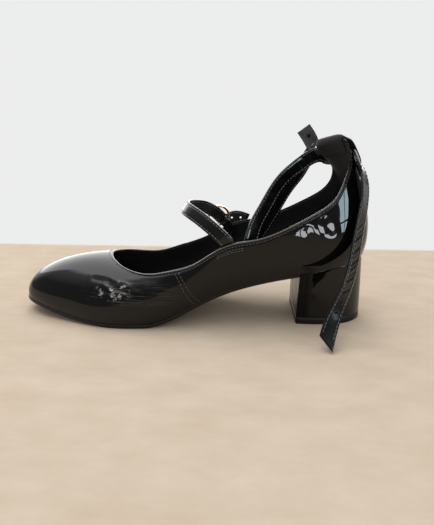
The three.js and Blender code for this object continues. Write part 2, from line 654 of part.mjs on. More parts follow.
export default shoe;
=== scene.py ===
"""A right-foot mary jane shoe in black patent leather on a block heel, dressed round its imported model.

Shapes are worked out as whole arrays in millimetres, in the model's frame: X from the toe (minus) to
the heel (plus), Y from the medial side (minus) to the lateral side (plus), Z up from the floor.
Every mesh is made in metres. A station is the distance back from the tip of the toe.
"""

import bpy
import numpy as np
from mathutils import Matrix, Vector


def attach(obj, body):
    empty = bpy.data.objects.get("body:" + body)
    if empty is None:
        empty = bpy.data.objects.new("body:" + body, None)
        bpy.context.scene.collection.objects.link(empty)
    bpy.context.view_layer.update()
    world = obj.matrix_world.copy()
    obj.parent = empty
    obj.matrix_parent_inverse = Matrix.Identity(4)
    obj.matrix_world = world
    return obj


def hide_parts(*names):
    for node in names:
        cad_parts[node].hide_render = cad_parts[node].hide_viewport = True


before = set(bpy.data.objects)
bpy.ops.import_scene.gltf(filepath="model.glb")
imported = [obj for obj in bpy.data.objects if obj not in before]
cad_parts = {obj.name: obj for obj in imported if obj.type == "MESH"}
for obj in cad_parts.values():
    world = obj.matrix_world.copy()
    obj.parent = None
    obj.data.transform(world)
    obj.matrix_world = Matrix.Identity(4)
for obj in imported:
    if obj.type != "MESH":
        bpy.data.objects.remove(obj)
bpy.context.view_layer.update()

# --- The shoe's own sizes, as in the model's source ------------------------------------------------

METRES = 0.001
ORIGIN_FROM_TOE = 225.0
GAP = 0.3
WALL = 1.8
SOLE_THICKNESS = 2.8
SOLE_REVEAL = 0.8
SHANK_INSET = 0.4
INSOLE_THICKNESS = 2.2
HEEL_BREAST = 203.6
HEEL_FOOT_LENGTH = 49.0
HEEL_FOOT_WIDTH = 39.4
TOP_PIECE_THICKNESS = 5.0
INSTEP_STRAP_WIDTH = 9.6
BUCKLE_STRAP_WIDTH = 7.0
ANKLE_STRAP_WIDTH = 10.4
STRAP_THICKNESS = 1.5
BUCKLE_STRAP_THICKNESS = 1.2
RING_RADIUS = 7.7
RING_WIRE = 0.95
LOOP_THICKNESS = 1.0

# station, height of the sole's underside
GROUND = np.array([
    (0, 9.3), (12, 7.5), (25, 5.2), (40, 2.6), (56, 1), (72, 0), (96, 0), (106, 1.8), (116, 5.2),
    (130, 11.8), (148, 20.4), (170, 28.4), (196, 35.4), (220, 40.2), (252, 45.6),
], float)

# station, medial offset, lateral offset of the line where upper meets sole
FEATHER = np.array([
    (0, 2, 2), (2.6, -7, 11), (10.5, -13.6, 18.2), (24, -20, 25.4), (42, -26, 32), (64, -32, 38.2),
    (88, -33.3, 40.5), (111, -29.8, 38.8), (134, -24, 34.6), (157, -21.8, 29.8), (178, -22.2, 26.6),
    (198, -23.4, 25), (216, -23.8, 24.3), (232, -20.4, 20.6), (241.5, -14.8, 15), (246.4, -9.4, 9.5),
    (248.5, -5.6, 5.7), (249.3, -2.8, 2.8), (249.5, 0, 0),
], float)

# medial station, offset, height, then lateral station, offset, height of the collar's edge
COLLAR = np.array([
    (66.6, 5, 44.6, 66.6, 5, 44.6), (69, -4, 44, 67.2, 12, 43.4), (74, -11.5, 42.4, 70.5, 18.5, 41.9),
    (81, -18, 40.5, 76, 24.5, 40.2), (91, -24, 39.2, 86, 29, 38.3), (103, -28, 39.7, 99, 31.5, 38),
    (117, -29.5, 42.8, 115, 32, 42.6), (131, -29.3, 47.2, 131, 31.5, 48.3), (145, -28.5, 56, 145, 30.5, 55.5),
    (159, -28.2, 62.2, 159, 29.5, 62.3), (176, -28, 65.6, 175, 29, 66), (195, -27.3, 73.8, 194, 27.6, 73),
    (212, -24.5, 82.8, 211, 24.5, 82.3), (223.5, -19.8, 91, 222.5, 19.3, 91.3),
    (229.8, -14.5, 103, 227, 15.2, 103), (232.4, -11.4, 115, 222.6, 14.5, 115),
    (229.4, -10.2, 125.4, 217, 14.2, 121.3), (225.8, -6.5, 128.4, 216.6, 10.6, 124.3),
    (221.2, 2, 126.7, 221.2, 2, 126.7),
], float)

# lower handle out and up, upper handle's share back, medial out, lateral out and down
SWELL = np.array([
    (1.5, 18, 0.55, 0, 0, 0.3), (1.6, 17.5, 0.53, 0, 0, 0.6), (2, 16.5, 0.47, 1, 1, 1.6),
    (2.6, 15, 0.38, 2, 2.2, 3), (3.4, 14, 0.26, 3.5, 4, 6), (4.2, 13, 0.16, 5, 6.5, 10),
    (4.6, 13, 0.1, 5.5, 8, 13), (4.8, 13, 0.06, 4.5, 7, 14), (5.4, 13, 0.04, 3.5, 4.5, 14),
    (6, 12.5, 0, 2.4, 3, 13), (6, 12, 0, 1.8, 2, 12), (5.6, 13, 0, 2.2, 2.2, 13), (5.2, 15, 0, 3.6, 3.6, 16),
    (5.8, 19, 0.2, 4.6, 4.6, 19), (6.6, 22, 0.45, 3.4, 3.4, 21), (7.2, 24, 0.58, 1.2, 1.2, 22),
    (7.4, 25, 0.6, 0.4, 0.4, 23), (7.5, 25, 0.62, 0, 0, 23.6), (7.5, 25, 0.64, 0, 0, 23.6),
], float)

LAST_ROW = len(FEATHER) - 1
ROUND = 2 * LAST_ROW


# --- Curves and surfaces ---------------------------------------------------------------------------

def smoothstep(value, start, end):
    """0 before start, 1 after end and an S-shaped cubic between them."""
    t = np.clip((value - start) / (end - start), 0, 1)
    return t * t * (3 - 2 * t)


def unit(vectors):
    """The same directions with length one."""
    return vectors / np.maximum(np.linalg.norm(vectors, axis=-1, keepdims=True), 1e-9)


def ground_at(station):
    """Height of the sole's underside: a cubic through the table that never passes its rows."""
    s, h = GROUND.T
    secant = np.diff(h) / np.diff(s)
    before, after = secant[:-1], secant[1:]
    same_way = before * after > 0
    inner = np.where(same_way, 2 * before * after / np.where(same_way, before + after, 1), 0)
    slope = np.concatenate([secant[:1], inner, secant[-1:]])
    i = np.clip(np.searchsorted(s, station, side="right") - 1, 0, len(s) - 2)
    span = s[i + 1] - s[i]
    t = np.clip((station - s[i]) / span, 0, 1)
    stay = (1 + 2 * t) * (1 - t) ** 2
    bend = t * (1 - t) ** 2 * span * slope[i] + t * t * (t - 1) * span * slope[i + 1]
    return stay * h[i] + (1 - stay) * h[i + 1] + bend


def sole_top_at(station):
    """Height of the sole's upper face."""
    return ground_at(station) + SOLE_THICKNESS


def spline(points, closed=False):
    """A cubic through points at whole numbers of its parameter, with continuous curvature."""
    points = np.asarray(points, float)
    count = len(points)
    identity = np.eye(count)
    system = 4 * identity + np.roll(identity, 1, 0) + np.roll(identity, -1, 0)
    right = 3 * (np.roll(points, -1, 0) - np.roll(points, 1, 0))
    if not closed:
        system[0] = 2 * identity[0] + identity[1]
        system[-1] = 2 * identity[-1] + identity[-2]
        right[0] = 3 * (points[1] - points[0])
        right[-1] = 3 * (points[-1] - points[-2])
    slopes = np.linalg.solve(system, right)

    def at(u):
        u = np.asarray(u, float)
        if closed:
            u = np.mod(u, count)
            i = np.minimum(np.floor(u).astype(int), count - 1)
            after = (i + 1) % count
        else:
            i = np.clip(np.floor(u).astype(int), 0, count - 2)
            after = i + 1
        t = (u - i)[..., None]
        stay = (1 + 2 * t) * (1 - t) ** 2
        bend = slopes[i] * t * (1 - t) ** 2 + slopes[after] * t * t * (t - 1)
        return points[i] * stay + points[after] * (1 - stay) + bend

    return at


def round_the_shoe(medial, lateral):
    """Rows in order round the shoe: medial side from toe to heel, then lateral side back to the toe."""
    return np.concatenate([medial, lateral[-2:0:-1]])


FEATHER_HEIGHT = sole_top_at(FEATHER[:, 0]) + GAP
feather_points = round_the_shoe(
    np.stack([FEATHER[:, 0] - ORIGIN_FROM_TOE, FEATHER[:, 1], FEATHER_HEIGHT], 1),
    np.stack([FEATHER[:, 0] - ORIGIN_FROM_TOE, FEATHER[:, 2], FEATHER_HEIGHT], 1))
feather_at = spline(feather_points, closed=True)


def outward_at(u):
    """Level direction out of the shoe, square to the feather line."""
    run = feather_at(np.asarray(u) + 0.02) - feather_at(np.asarray(u) - 0.02)
    return unit(np.stack([run[..., 1], -run[..., 0], np.zeros(run.shape[:-1])], -1))


def control_curves():
    """Four curves round the shoe: feather line, lower handles, upper handles and collar."""
    places = np.arange(ROUND)
    out = outward_at(places)
    up = np.array([0, 0, 1.0])
    collar = round_the_shoe(COLLAR[:, :3], COLLAR[:, 3:]) - [ORIGIN_FROM_TOE, 0, 0]
    low_out, low_up, share, medial_out, lateral_out, high_down = (
        column[:, None] for column in round_the_shoe(SWELL, SWELL).T)
    side_out = np.where(places[:, None] <= LAST_ROW, medial_out, lateral_out)
    back = (feather_points - collar) * [1, 1, 0] * share
    low = feather_points + out * low_out + up * low_up
    high = collar + back + out * side_out - up * high_down
    return [feather_at] + [spline(points, closed=True) for points in (low, high, collar)]


CONTROLS = control_curves()


def upper_at(u, v):
    """Outer face of the upper: u goes round the shoe, v from the feather line (0) to the collar (1)."""
    u, v = np.broadcast_arrays(np.asarray(u, float), np.asarray(v, float))
    weights = [(1 - v) ** 3, 3 * v * (1 - v) ** 2, 3 * v * v * (1 - v), v ** 3]
    return sum(control(u) * weight[..., None] for control, weight in zip(CONTROLS, weights))


def upper_normal(u, v):
    """Direction straight out of the upper's outer face, by differences."""
    step = 0.01
    round_way = upper_at(np.asarray(u) + step, v) - upper_at(np.asarray(u) - step, v)
    rise = upper_at(u, np.minimum(v + step, 1)) - upper_at(u, np.maximum(v - step, 0))
    return unit(np.cross(round_way, rise))


def place_at_station(station):
    """Place on the medial feather line that lies at a station, read off a fine table."""
    places = np.linspace(0, LAST_ROW, 4001)
    return np.interp(station, feather_at(places)[:, 0] + ORIGIN_FROM_TOE, places)


# --- Meshes ----------------------------------------------------------------------------------------

def grid_faces(rows, columns, wrap_rows=False, wrap_columns=False, first=0):
    """Quads of a rows by columns grid of points, joined round on itself where asked."""
    i = np.arange(rows if wrap_rows else rows - 1)
    j = np.arange(columns if wrap_columns else columns - 1)
    i, j = (index.ravel() for index in np.meshgrid(i, j, indexing="ij"))
    after_i, after_j = (i + 1) % rows, (j + 1) % columns
    corners = (i, j), (after_i, j), (after_i, after_j), (i, after_j)
    return first + np.stack([row * columns + column for row, column in corners], 1)


def volume_of(points, quads):
    """Signed volume inside closed quads, which is positive when they face outwards."""
    a, b, c, d = (points[quads[:, k]] for k in range(4))
    return np.sum(np.cross(a, b) * c + np.cross(a, c) * d)


def make_piece(name, points, quads, finish, replaced=(), caps=()):
    """A smooth mesh that rides on the shoe. Caps are loops of point numbers, each filled by one face."""
    if volume_of(points, quads) < 0:
        quads = quads[:, ::-1]
        caps = [loop[::-1] for loop in caps]
    mesh = bpy.data.meshes.new(name)
    mesh.from_pydata((points * METRES).tolist(), [], quads.tolist() + [list(loop) for loop in caps])
    mesh.validate()
    mesh.polygons.foreach_set("use_smooth", np.ones(len(mesh.polygons), bool))
    mesh.materials.append(finish)
    mesh.update()
    piece = bpy.data.objects.new(name, mesh)
    bpy.context.scene.collection.objects.link(piece)
    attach(piece, "root")
    if replaced:
        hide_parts(*replaced)
    return piece


def tube_piece(name, sections, finish, replaced=()):
    """A closed skin over sections, an array of rings of points, with a flat cap on each end."""
    count, size = sections.shape[:2]
    quads = grid_faces(count, size, wrap_columns=True)
    start = list(range(size))
    end = list(range((count - 1) * size, count * size))[::-1]
    return make_piece(name, sections.reshape(-1, 3), quads, finish, replaced, [start, end])


def ring_piece(name, sections, finish, replaced=()):
    """A closed skin over sections that come round to the first one again."""
    count, size = sections.shape[:2]
    quads = grid_faces(count, size, wrap_rows=True, wrap_columns=True)
    return make_piece(name, sections.reshape(-1, 3), quads, finish, replaced)


def stitches(name, rows, pitch, length, radius, finish, sunk=0.3):
    """Short threads end to end along rows of (points, outward directions), as one mesh.

    Each thread is a tube round an arc that rises out of the leather in its middle and dives in at its ends.
    """
    along = np.linspace(-1, 1, 6)
    turn = np.linspace(0, 2 * np.pi, 6, endpoint=False)
    points, quads, first = [], [], 0
    for path, out in rows:
        reach = np.concatenate([[0], np.cumsum(np.linalg.norm(np.diff(path, axis=0), axis=1))])
        count = max(int(reach[-1] / pitch), 1)
        middle = (np.arange(count) + 0.5) * reach[-1] / count
        place = middle[:, None] + along * length / 2
        on_path = np.stack([np.interp(place, reach, path[:, k]) for k in range(3)], -1)
        outward = unit(np.stack([np.interp(place, reach, out[:, k]) for k in range(3)], -1))
        run = unit(np.gradient(on_path, axis=1))
        side = unit(np.cross(run, outward))
        lift = radius * (1 - (1 + sunk) * along ** 4)
        thick = radius * np.sqrt(1 - 0.6 * along ** 4)
        round_way = side[:, :, None] * np.cos(turn)[:, None] + outward[:, :, None] * np.sin(turn)[:, None]
        ring = round_way * thick[:, None, None]
        sections = (on_path + outward * lift[:, None])[:, :, None] + ring
        one = grid_faces(len(along), len(turn), wrap_columns=True)
        size = len(along) * len(turn)
        quads.append((one[None] + first + np.arange(count)[:, None, None] * size).reshape(-1, 4))
        points.append(sections.reshape(-1, 3))
        first += count * size
    return make_piece(name, np.concatenate(points), np.concatenate(quads), finish)


# --- Materials -------------------------------------------------------------------------------------

class Finish:
    """A node material on object coordinates, with short names for the nodes that repeat."""

    def __init__(self, name, **values):
        self.material = bpy.data.materials.new(name)
        self.material.use_nodes = True
        self.nodes = self.material.node_tree.nodes
        self.links = self.material.node_tree.links
        self.shader = self.nodes["Principled BSDF"]
        for socket, value in values.items():
            self.shader.inputs[socket.replace("_", " ")].default_value = value
        self.coordinates = self.nodes.new("ShaderNodeTexCoord").outputs["Object"]

    def stretched(self, scale, turn=(0, 0, 0)):
        """Object coordinates turned and scaled by a vector."""
        mapping = self.nodes.new("ShaderNodeMapping")
        mapping.inputs["Scale"].default_value = scale
        mapping.inputs["Rotation"].default_value = turn
        self.links.new(self.coordinates, mapping.inputs["Vector"])
        return mapping.outputs["Vector"]

    def noise(self, scale, detail=3, vector=None, roughness=0.5):
        """Fractal noise of so many lumps a metre."""
        node = self.nodes.new("ShaderNodeTexNoise")
        node.inputs["Scale"].default_value = scale
        node.inputs["Detail"].default_value = detail
        node.inputs["Roughness"].default_value = roughness
        self.links.new(vector or self.coordinates, node.inputs["Vector"])
        return node.outputs["Fac"]

    def cells(self, scale, vector=None):
        """Distance to the middle of the nearest cell, of so many cells a metre."""
        node = self.nodes.new("ShaderNodeTexVoronoi")
        node.inputs["Scale"].default_value = scale
        self.links.new(vector or self.coordinates, node.inputs["Vector"])
        return node.outputs["Distance"]

    def spread(self, value, low, high, start=0.0, end=1.0):
        """A value from start to end as the input goes from low to high, held beyond them."""
        node = self.nodes.new("ShaderNodeMapRange")
        self.links.new(value, node.inputs["Value"])
        for socket, number in zip(("From Min", "From Max", "To Min", "To Max"), (low, high, start, end)):
            node.inputs[socket].default_value = number
        return node.outputs["Result"]

    def math(self, operation, first, second):
        """Two values, or a value and a number, put together."""
        node = self.nodes.new("ShaderNodeMath")
        node.operation = operation
        self.links.new(first, node.inputs[0])
        if isinstance(second, (int, float)):
            node.inputs[1].default_value = second
        else:
            self.links.new(second, node.inputs[1])
        return node.outputs["Value"]

    def near(self, place, reach):
        """One at a place given in millimetres, falling to zero at a reach along each axis."""
        node = self.nodes.new("ShaderNodeVectorMath")
        node.operation = "SUBTRACT"
        self.links.new(self.coordinates, node.inputs[0])
        node.inputs[1].default_value = np.array(place) * METRES
        scaled = self.nodes.new("ShaderNodeVectorMath")
        scaled.operation = "DIVIDE"
        self.links.new(node.outputs["Vector"], scaled.inputs[0])
        scaled.inputs[1].default_value = np.array(reach) * METRES
        length = self.nodes.new("ShaderNodeVectorMath")
        length.operation = "LENGTH"
        self.links.new(scaled.outputs["Vector"], length.inputs[0])
        return self.spread(length.outputs["Value"], 1, 0.35)

    def colour(self, value, first, second):
        """Sets the base colour between two colours by a value."""
        node = self.nodes.new("ShaderNodeMix")
        node.data_type = "RGBA"
        self.links.new(value, node.inputs["Factor"])
        node.inputs["A"].default_value = (*first, 1)
        node.inputs["B"].default_value = (*second, 1)
        self.links.new(node.outputs["Result"], self.shader.inputs["Base Color"])

    def rough(self, value):
        """Sets the roughness from a value."""
        self.links.new(value, self.shader.inputs["Roughness"])

    def bump(self, value, height, strength=1.0, socket="Normal"):
        """Adds a bump of a height in millimetres under whatever bump there is."""
        node = self.nodes.new("ShaderNodeBump")
        node.inputs["Strength"].default_value = strength
        node.inputs["Distance"].default_value = height * METRES
        self.links.new(value, node.inputs["Height"])
        normal = self.shader.inputs[socket]
        if normal.is_linked:
            self.links.new(normal.links[0].from_socket, node.inputs["Normal"])
        self.links.new(node.outputs["Normal"], normal)


RUB_AND_HIGHLIGHT_PATCH = ((-140, -33, 27), (44, 16, 12))  # middle and reach of the vamp's hairline rub marks, pale streaks that are partly real wear and partly painted highlight
GLINT_PATCH = ((-149, -30, 27.5), (17, 9, 8))  # and of its painted glints, pale blobs painted in as highlights of crinkles catching the light


def patent_leather():
    """Black leather under a clear, slightly wavy coat, with hairline rub marks that are partly painted
    highlight, pale glints painted on the vamp as highlights, and a little dust.
    """
    finish = Finish(
        "patent_leather", Specular_IOR_Level=0.02, Coat_Weight=1.0, Coat_IOR=1.37, Coat_Roughness=0.02)
    wave = finish.noise(45, 2)
    peel = finish.noise(420, 2)
    hairs = finish.noise(60, 3, finish.stretched((0.6, 3, 26), (0, 0.12, 0.1)), 0.6)
    dust = finish.spread(finish.noise(900, 2), 0.70, 0.78)
    # Pale hairline streaks: partly real rub wear, which also roughens the coat, and partly painted highlight.
    rubs_and_highlights = finish.math("MULTIPLY", finish.spread(hairs, 0.57, 0.70), finish.near(*RUB_AND_HIGHLIGHT_PATCH))
    # Painted highlights: irregular pale blobs in the vamp's colour where its crinkles would catch the light.
    painted_glints = finish.noise(230, 5, finish.stretched((1, 1, 1.8)), 0.7)
    painted_glints = finish.math("MULTIPLY", finish.spread(painted_glints, 0.56, 0.60), finish.near(*GLINT_PATCH))
    marks = finish.math("MAXIMUM", finish.math("MULTIPLY", dust, 0.05), finish.math("MULTIPLY", rubs_and_highlights, 0.22))
    finish.colour(finish.math("MAXIMUM", marks, painted_glints), (0.0035, 0.0035, 0.0038), (0.42, 0.42, 0.41))
    smooth = finish.spread(peel, 0.3, 0.7, 0.07, 0.12)
    finish.rough(finish.math("ADD", smooth, finish.math("MULTIPLY", rubs_and_highlights, 0.4)))
    for socket, height in (("Normal", 0.05), ("Coat Normal", 0.05)):
        finish.bump(wave, height, 0.5, socket)
        finish.bump(peel, 0.004, 0.4, socket)
    return finish.material


SHORT_END_PLACE = (-17, 25, 127)  # where the short end is painted grey as a reflection of the pale ceiling, and dulled by handling like the tip of the tail
SHORT_END_HOLE = (-15.06, 25.65, 127.54)
TAIL_TIP_PLACE = (-3, -48, 18)
TAIL_CURL_PLACE = (13.5, -15, 110)


def strap_patent():
    """The same coated leather cut into straps, with fine cross creases from bending, a bluish grey reflection
    painted on the short end and painted shade over its hole.
    """
    finish = Finish(
        "strap_patent", Specular_IOR_Level=0.05, Coat_Weight=1.0, Coat_IOR=1.38, Coat_Roughness=0.09)
    peel = finish.noise(500, 2)
    creases = finish.noise(110, 3, finish.stretched((1, 1, 2.4), (0.5, 0.4, 0)))
    # Painted reflection: the short end is coloured bluish grey as if it mirrored the pale ceiling; the same
    # patch also dulls its coat, as handling does.
    dulled_and_painted_grey = finish.math("MULTIPLY", finish.near(SHORT_END_PLACE, (13, 13, 14)), 0.85)
    # Painted shade: the grey is taken out again over the hole, so the hole reads dark.
    painted_hole_shade = finish.near(SHORT_END_HOLE, (2.3, 2.3, 2.3))
    dulled_and_painted_grey = finish.math("MAXIMUM", finish.math("SUBTRACT", dulled_and_painted_grey, painted_hole_shade), 0.0)
    # Paler share: faint wear along the creases, and the painted grey reflection of the short end.
    paler_share = finish.math("MAXIMUM", finish.math("MULTIPLY", finish.spread(creases, 0.35, 0.75), 0.07), dulled_and_painted_grey)
    finish.colour(paler_share, (0.0035, 0.0035, 0.0038), (0.085, 0.09, 0.105))
    smooth = finish.spread(peel, 0.3, 0.7, 0.09, 0.16)
    finish.rough(finish.math("MAXIMUM", smooth, finish.math("MULTIPLY", dulled_and_painted_grey, 0.5)))
    handled = finish.math("MAXIMUM", dulled_and_painted_grey, finish.near(TAIL_TIP_PLACE, (15, 16, 26)))
    handled = finish.math("MAXIMUM", handled, finish.near(TAIL_CURL_PLACE, (9, 10, 14)))
    finish.links.new(finish.spread(handled, 0, 1, 0.09, 0.3), finish.shader.inputs["Coat Roughness"])
    finish.links.new(finish.spread(handled, 0, 1, 1.0, 0.3), finish.shader.inputs["Coat Weight"])
    for socket in ("Normal", "Coat Normal"):
        finish.bump(creases, 0.10, 0.6, socket)
        finish.bump(peel, 0.006, 0.4, socket)
    return finish.material


def black_lining(name, base, grain):
    """Matt coated cloth with a fine pebbled grain and slightly paler spots of wear."""
    finish = Finish(name, Specular_IOR_Level=0.35, Sheen_Weight=0.08, Sheen_Roughness=0.5)
    pebbles = finish.cells(grain)
    paler_share = finish.noise(38, 4)
    worn_tint = base * np.array([2.1, 2.05, 2.0])
    finish.colour(finish.spread(paler_share, 0.4, 0.75), (base, base, base), worn_tint)
    finish.rough(finish.spread(paler_share, 0.3, 0.8, 0.58, 0.78))
    finish.bump(pebbles, 0.10, 0.5)
    finish.bump(paler_share, 0.3, 0.3)
    return finish.material


def sole_rubber():
    """Black moulded rubber with a fine grain, scratches along the tread and grey wear."""
    finish = Finish("sole_rubber", Specular_IOR_Level=0.25)
    grain = finish.noise(1400, 2)
    scratches = finish.noise(90, 4, finish.stretched((0.3, 4, 4)), 0.7)
    finish.colour(finish.spread(scratches, 0.5, 0.8), (0.005, 0.005, 0.005), (0.014, 0.013, 0.012))
    finish.rough(finish.spread(scratches, 0.35, 0.75, 0.26, 0.45))
    finish.bump(grain, 0.03, 0.5)
    return finish.material


def rose_gold():
    """Plated metal with faint rubbing and a warm tint."""
    finish = Finish("rose_gold", Metallic=1.0)
    rubbing = finish.noise(300, 3, finish.stretched((1, 4, 1)))
    finish.colour(finish.spread(rubbing, 0.3, 0.7), (0.90, 0.62, 0.42), (0.82, 0.52, 0.34))
    finish.rough(finish.spread(rubbing, 0.3, 0.7, 0.12, 0.24))
    finish.bump(rubbing, 0.01, 0.4)
    return finish.material


def sewing_thread(name, pale):
    """Black twisted polyester thread with a soft shine, painted more or less pale grey as a highlight."""
    finish = Finish(name, Specular_IOR_Level=0.5, Sheen_Weight=0.15)
    twist = finish.noise(2200, 1, finish.stretched((1, 1, 3), (0.7, 0.3, 0)))
    finish.colour(twist, (pale / 5, pale / 5, pale / 5), (pale, pale, pale * 1.03))
    finish.rough(finish.spread(twist, 0.3, 0.7, 0.35, 0.55))
    finish.bump(twist, 0.05, 0.5)
    return finish.material


PATENT = patent_leather()
STRAP_PATENT = strap_patent()
LINING = black_lining("shoe_lining", 0.0055, 900)
SOCK = black_lining("sock_lining", 0.008, 700)
STRAP_BACK = black_lining("strap_backing", 0.009, 1100)
LOOP_CLOTH = black_lining("loop_cloth", 0.0026, 1500)
RUBBER = sole_rubber()
GOLD = rose_gold()
# Both threads are painted paler than black thread as a highlight, the straps' thread the palest.
THREAD = sewing_thread("sewing_thread", 0.09)
PALE_PAINTED_THREAD = sewing_thread("pale_painted_thread", 0.26)


# --- Upper and lining ------------------------------------------------------------------------------

PATENT_THICKNESS = 1.25
BEAD_WIDTH = 1.15
BEAD_HEIGHT = 0.28
CHANNEL = 2.1  # from the collar's edge to the row of stitches in its channel
PLACE_LENGTH = 10.5  # millimetres from one place round the shoe to the next, near the side seams
SEAM_PLACES = {"medial": (6.25, 8.15), "lateral": (29.75, 27.9)}  # at the collar, at the feather line

# Creases: two ends as station, offset and height, then width and depth of the trough.
CREASES = [
    ((72, -27.5, 31.5), (84, -31.5, 28.5), 2.2, 0.30),
    ((76, -29.5, 27.5), (90, -33, 27), 1.6, 0.26),
    ((80, -31.5, 25), (86, -33.2, 21.5), 1.5, 0.28),
    ((88, -31.5, 29.5), (97, -33.2, 31), 1.6, 0.22),
    ((92, -33.5, 25.5), (104, -34.5, 28.5), 2.4, 0.22),
    ((60, -22, 33), (71, -26, 33.2), 2.0, 0.20),
    ((66, -26.5, 27), (74, -29, 25), 1.8, 0.20),
    ((188, -28.5, 63), (198, -28.4, 61), 3.4, 0.12),
    ((205, -27.4, 70.5), (209, -27.2, 64), 3.0, 0.14),
    ((217, -25.6, 78), (221, -25, 70), 3.6, 0.14),
    ((80, 31, 31.5), (95, 36, 28), 2.2, 0.28),
    ((86, 36.5, 24), (100, 38.5, 27), 2.4, 0.25),
    ((206, 27, 68), (215, 25.6, 60), 3.2, 0.35),
]


def from_segment(points, start, end):
    """Distance of points from a straight segment."""
    start, end = np.array(start, float), np.array(end, float)
    run = end - start
    share = np.clip((points - start) @ run / (run @ run), 0, 1)
    return np.linalg.norm(points - start - share[..., None] * run, axis=-1)


def seam_place(side, v):
    """Place round the shoe of a side seam at a height v, bowed a little towards the heel."""
    top, foot = SEAM_PLACES[side]
    bow = 0.25 * np.sin(np.pi * v) * (1 if side == "medial" else -1)
    return foot + (top - foot) * v + bow


def relief_at(u, v, place, from_edge):
    """Height of the leather over the last: a bead at the collar, its channel, side seams and creases."""
    bead = BEAD_HEIGHT * np.cos(np.clip((from_edge - 0.7) / BEAD_WIDTH, -0.5, 0.5) * np.pi)
    channel = -0.16 * np.exp(-((from_edge - CHANNEL) / 0.55) ** 2)
    relief = np.where(from_edge < 4, bead, 0) + channel
    for side in SEAM_PLACES:
        away = (u - seam_place(side, v)) * PLACE_LENGTH * (1 if side == "medial" else -1)
        overlap = 0.2 * (1 - smoothstep(away, -0.4, 0.6)) * smoothstep(away, -14, -2)
        relief += (overlap - 0.09 * np.exp(-((away - 0.3) / 0.9) ** 2)) * (np.abs(away) < 16)
    station_place = place + [ORIGIN_FROM_TOE, 0, 0]
    for start, end, width, depth in CREASES:
        away = from_segment(station_place, start, end) / width
        relief += depth * (0.55 * np.exp(-((away - 1.7) / 0.8) ** 2) - np.exp(-away ** 2))
    return relief


def leather_face(u, v, from_edge):
    """The outer face with its relief, and its normals."""
    place = upper_at(u, v)
    normal = upper_normal(u, v)
    return place + normal * relief_at(u, v, place, from_edge)[..., None], normal


def rise_rate(u):
    """Millimetres of wall to one unit of v, at the collar."""
    return np.linalg.norm(upper_at(u, 1.0) - upper_at(u, 0.98), axis=-1) / 0.02


def make_upper():
    """Outer face from feather line to collar, rounded over the collar's edge and back down inside."""
    u = np.linspace(0, ROUND, 36 * 17, endpoint=False)[:, None]
    rate = rise_rate(u)
    edge_steps = np.concatenate([np.linspace(0, 3.4, 12), [4.2, 5.4]])[::-1]
    top = 1 - edge_steps[0] / rate
    lower = np.linspace(0, 1, 52)[:-1] * top
    v = np.concatenate([lower, 1 - edge_steps / rate], 1)
    u = np.broadcast_to(u, v.shape)
    face, normal = leather_face(u, v, (1 - v) * rate)
    foot = face[:, :1] + [0, 0, -0.32] - outward_at(u[:, :1]) * 0.05
    half = PATENT_THICKNESS / 2
    turn = np.linspace(0, np.pi, 9)[1:-1]
    rise = unit(face[:, -1] - face[:, -2])[:, None]
    edge_normal = normal[:, -1:]
    centre = face[:, -1:] - edge_normal * half
    edge = centre + edge_normal * half * np.cos(turn)[:, None] + rise * half * np.sin(turn)[:, None]
    inner_v = np.concatenate([1 - np.array([0, 0.8, 1.8, 3.4]) / rate, np.linspace(0.9, 0, 9) * top], 1)
    inner_u = np.broadcast_to(u[:, :1], inner_v.shape)
    inner = upper_at(inner_u, inner_v) - upper_normal(inner_u, inner_v) * PATENT_THICKNESS
    sections = np.concatenate([foot, face, edge, inner], 1)
    return ring_piece("upper_patent", sections, PATENT, ["upper"])


def make_lining():
    """A thin sheet inside the wall that ends just under the collar's edge."""
    u = np.linspace(0, ROUND, 36 * 10, endpoint=False)[:, None]
    rate = rise_rate(u)
    v = np.linspace(0, 1, 40) * (1 - 0.75 / rate)
    u = np.broadcast_to(u, v.shape)
    place, normal = upper_at(u, v), upper_normal(u, v)
    front = place - normal * WALL
    back = place - normal * (PATENT_THICKNESS - 0.05)
    rise = unit(front[:, -1:] - front[:, -2:-1])
    crest = (front[:, -1:] + back[:, -1:]) / 2 + rise * 0.28
    sections = np.concatenate([front, crest, back[:, ::-1]], 1)
    return ring_piece("upper_lining", sections, LINING, ["upper"])


def row_on_upper(u, v, lift=0.0):
    """Points along a row on the leather, with the directions out of it."""
    rate = rise_rate(u)
    face, normal = leather_face(u, v, (1 - v) * rate)
    return face + normal * lift, normal


def make_upper_stitches():
    """One row in the collar's channel, two beside each side seam and a bar at each strap's foot."""
    u = np.linspace(0, ROUND, 1400)
    rows = [row_on_upper(u, 1 - CHANNEL / rise_rate(u))]
    for side in SEAM_PLACES:
        for away in (-1.0, -2.6):
            v = np.linspace(0.03, 0.95, 90)
            shift = away / PLACE_LENGTH * (1 if side == "medial" else -1)
            rows.append(row_on_upper(seam_place(side, v) + shift, v))
    collar = stitches("collar_and_seam_stitches", rows, 2.35, 1.75, 0.21, THREAD)
    bars = []
    for start, end in ((8.15, 9.35), (27.85, 26.65)):
        for below in (4.0, 5.6):
            place = np.linspace(start, end, 40)
            bars.append(row_on_upper(place, 1 - below / rise_rate(place)))
    return collar, stitches("strap_foot_stitches", bars, 1.9, 1.45, 0.24, THREAD)


# --- Sole, sock and heel ---------------------------------------------------------------------------

def edges_at(places, out):
    """Medial and lateral points at places along the feather line, moved out by a distance."""
    mirrored = ROUND - places
    return tuple(feather_at(u) + outward_at(u) * out[:, None] for u in (places, mirrored))


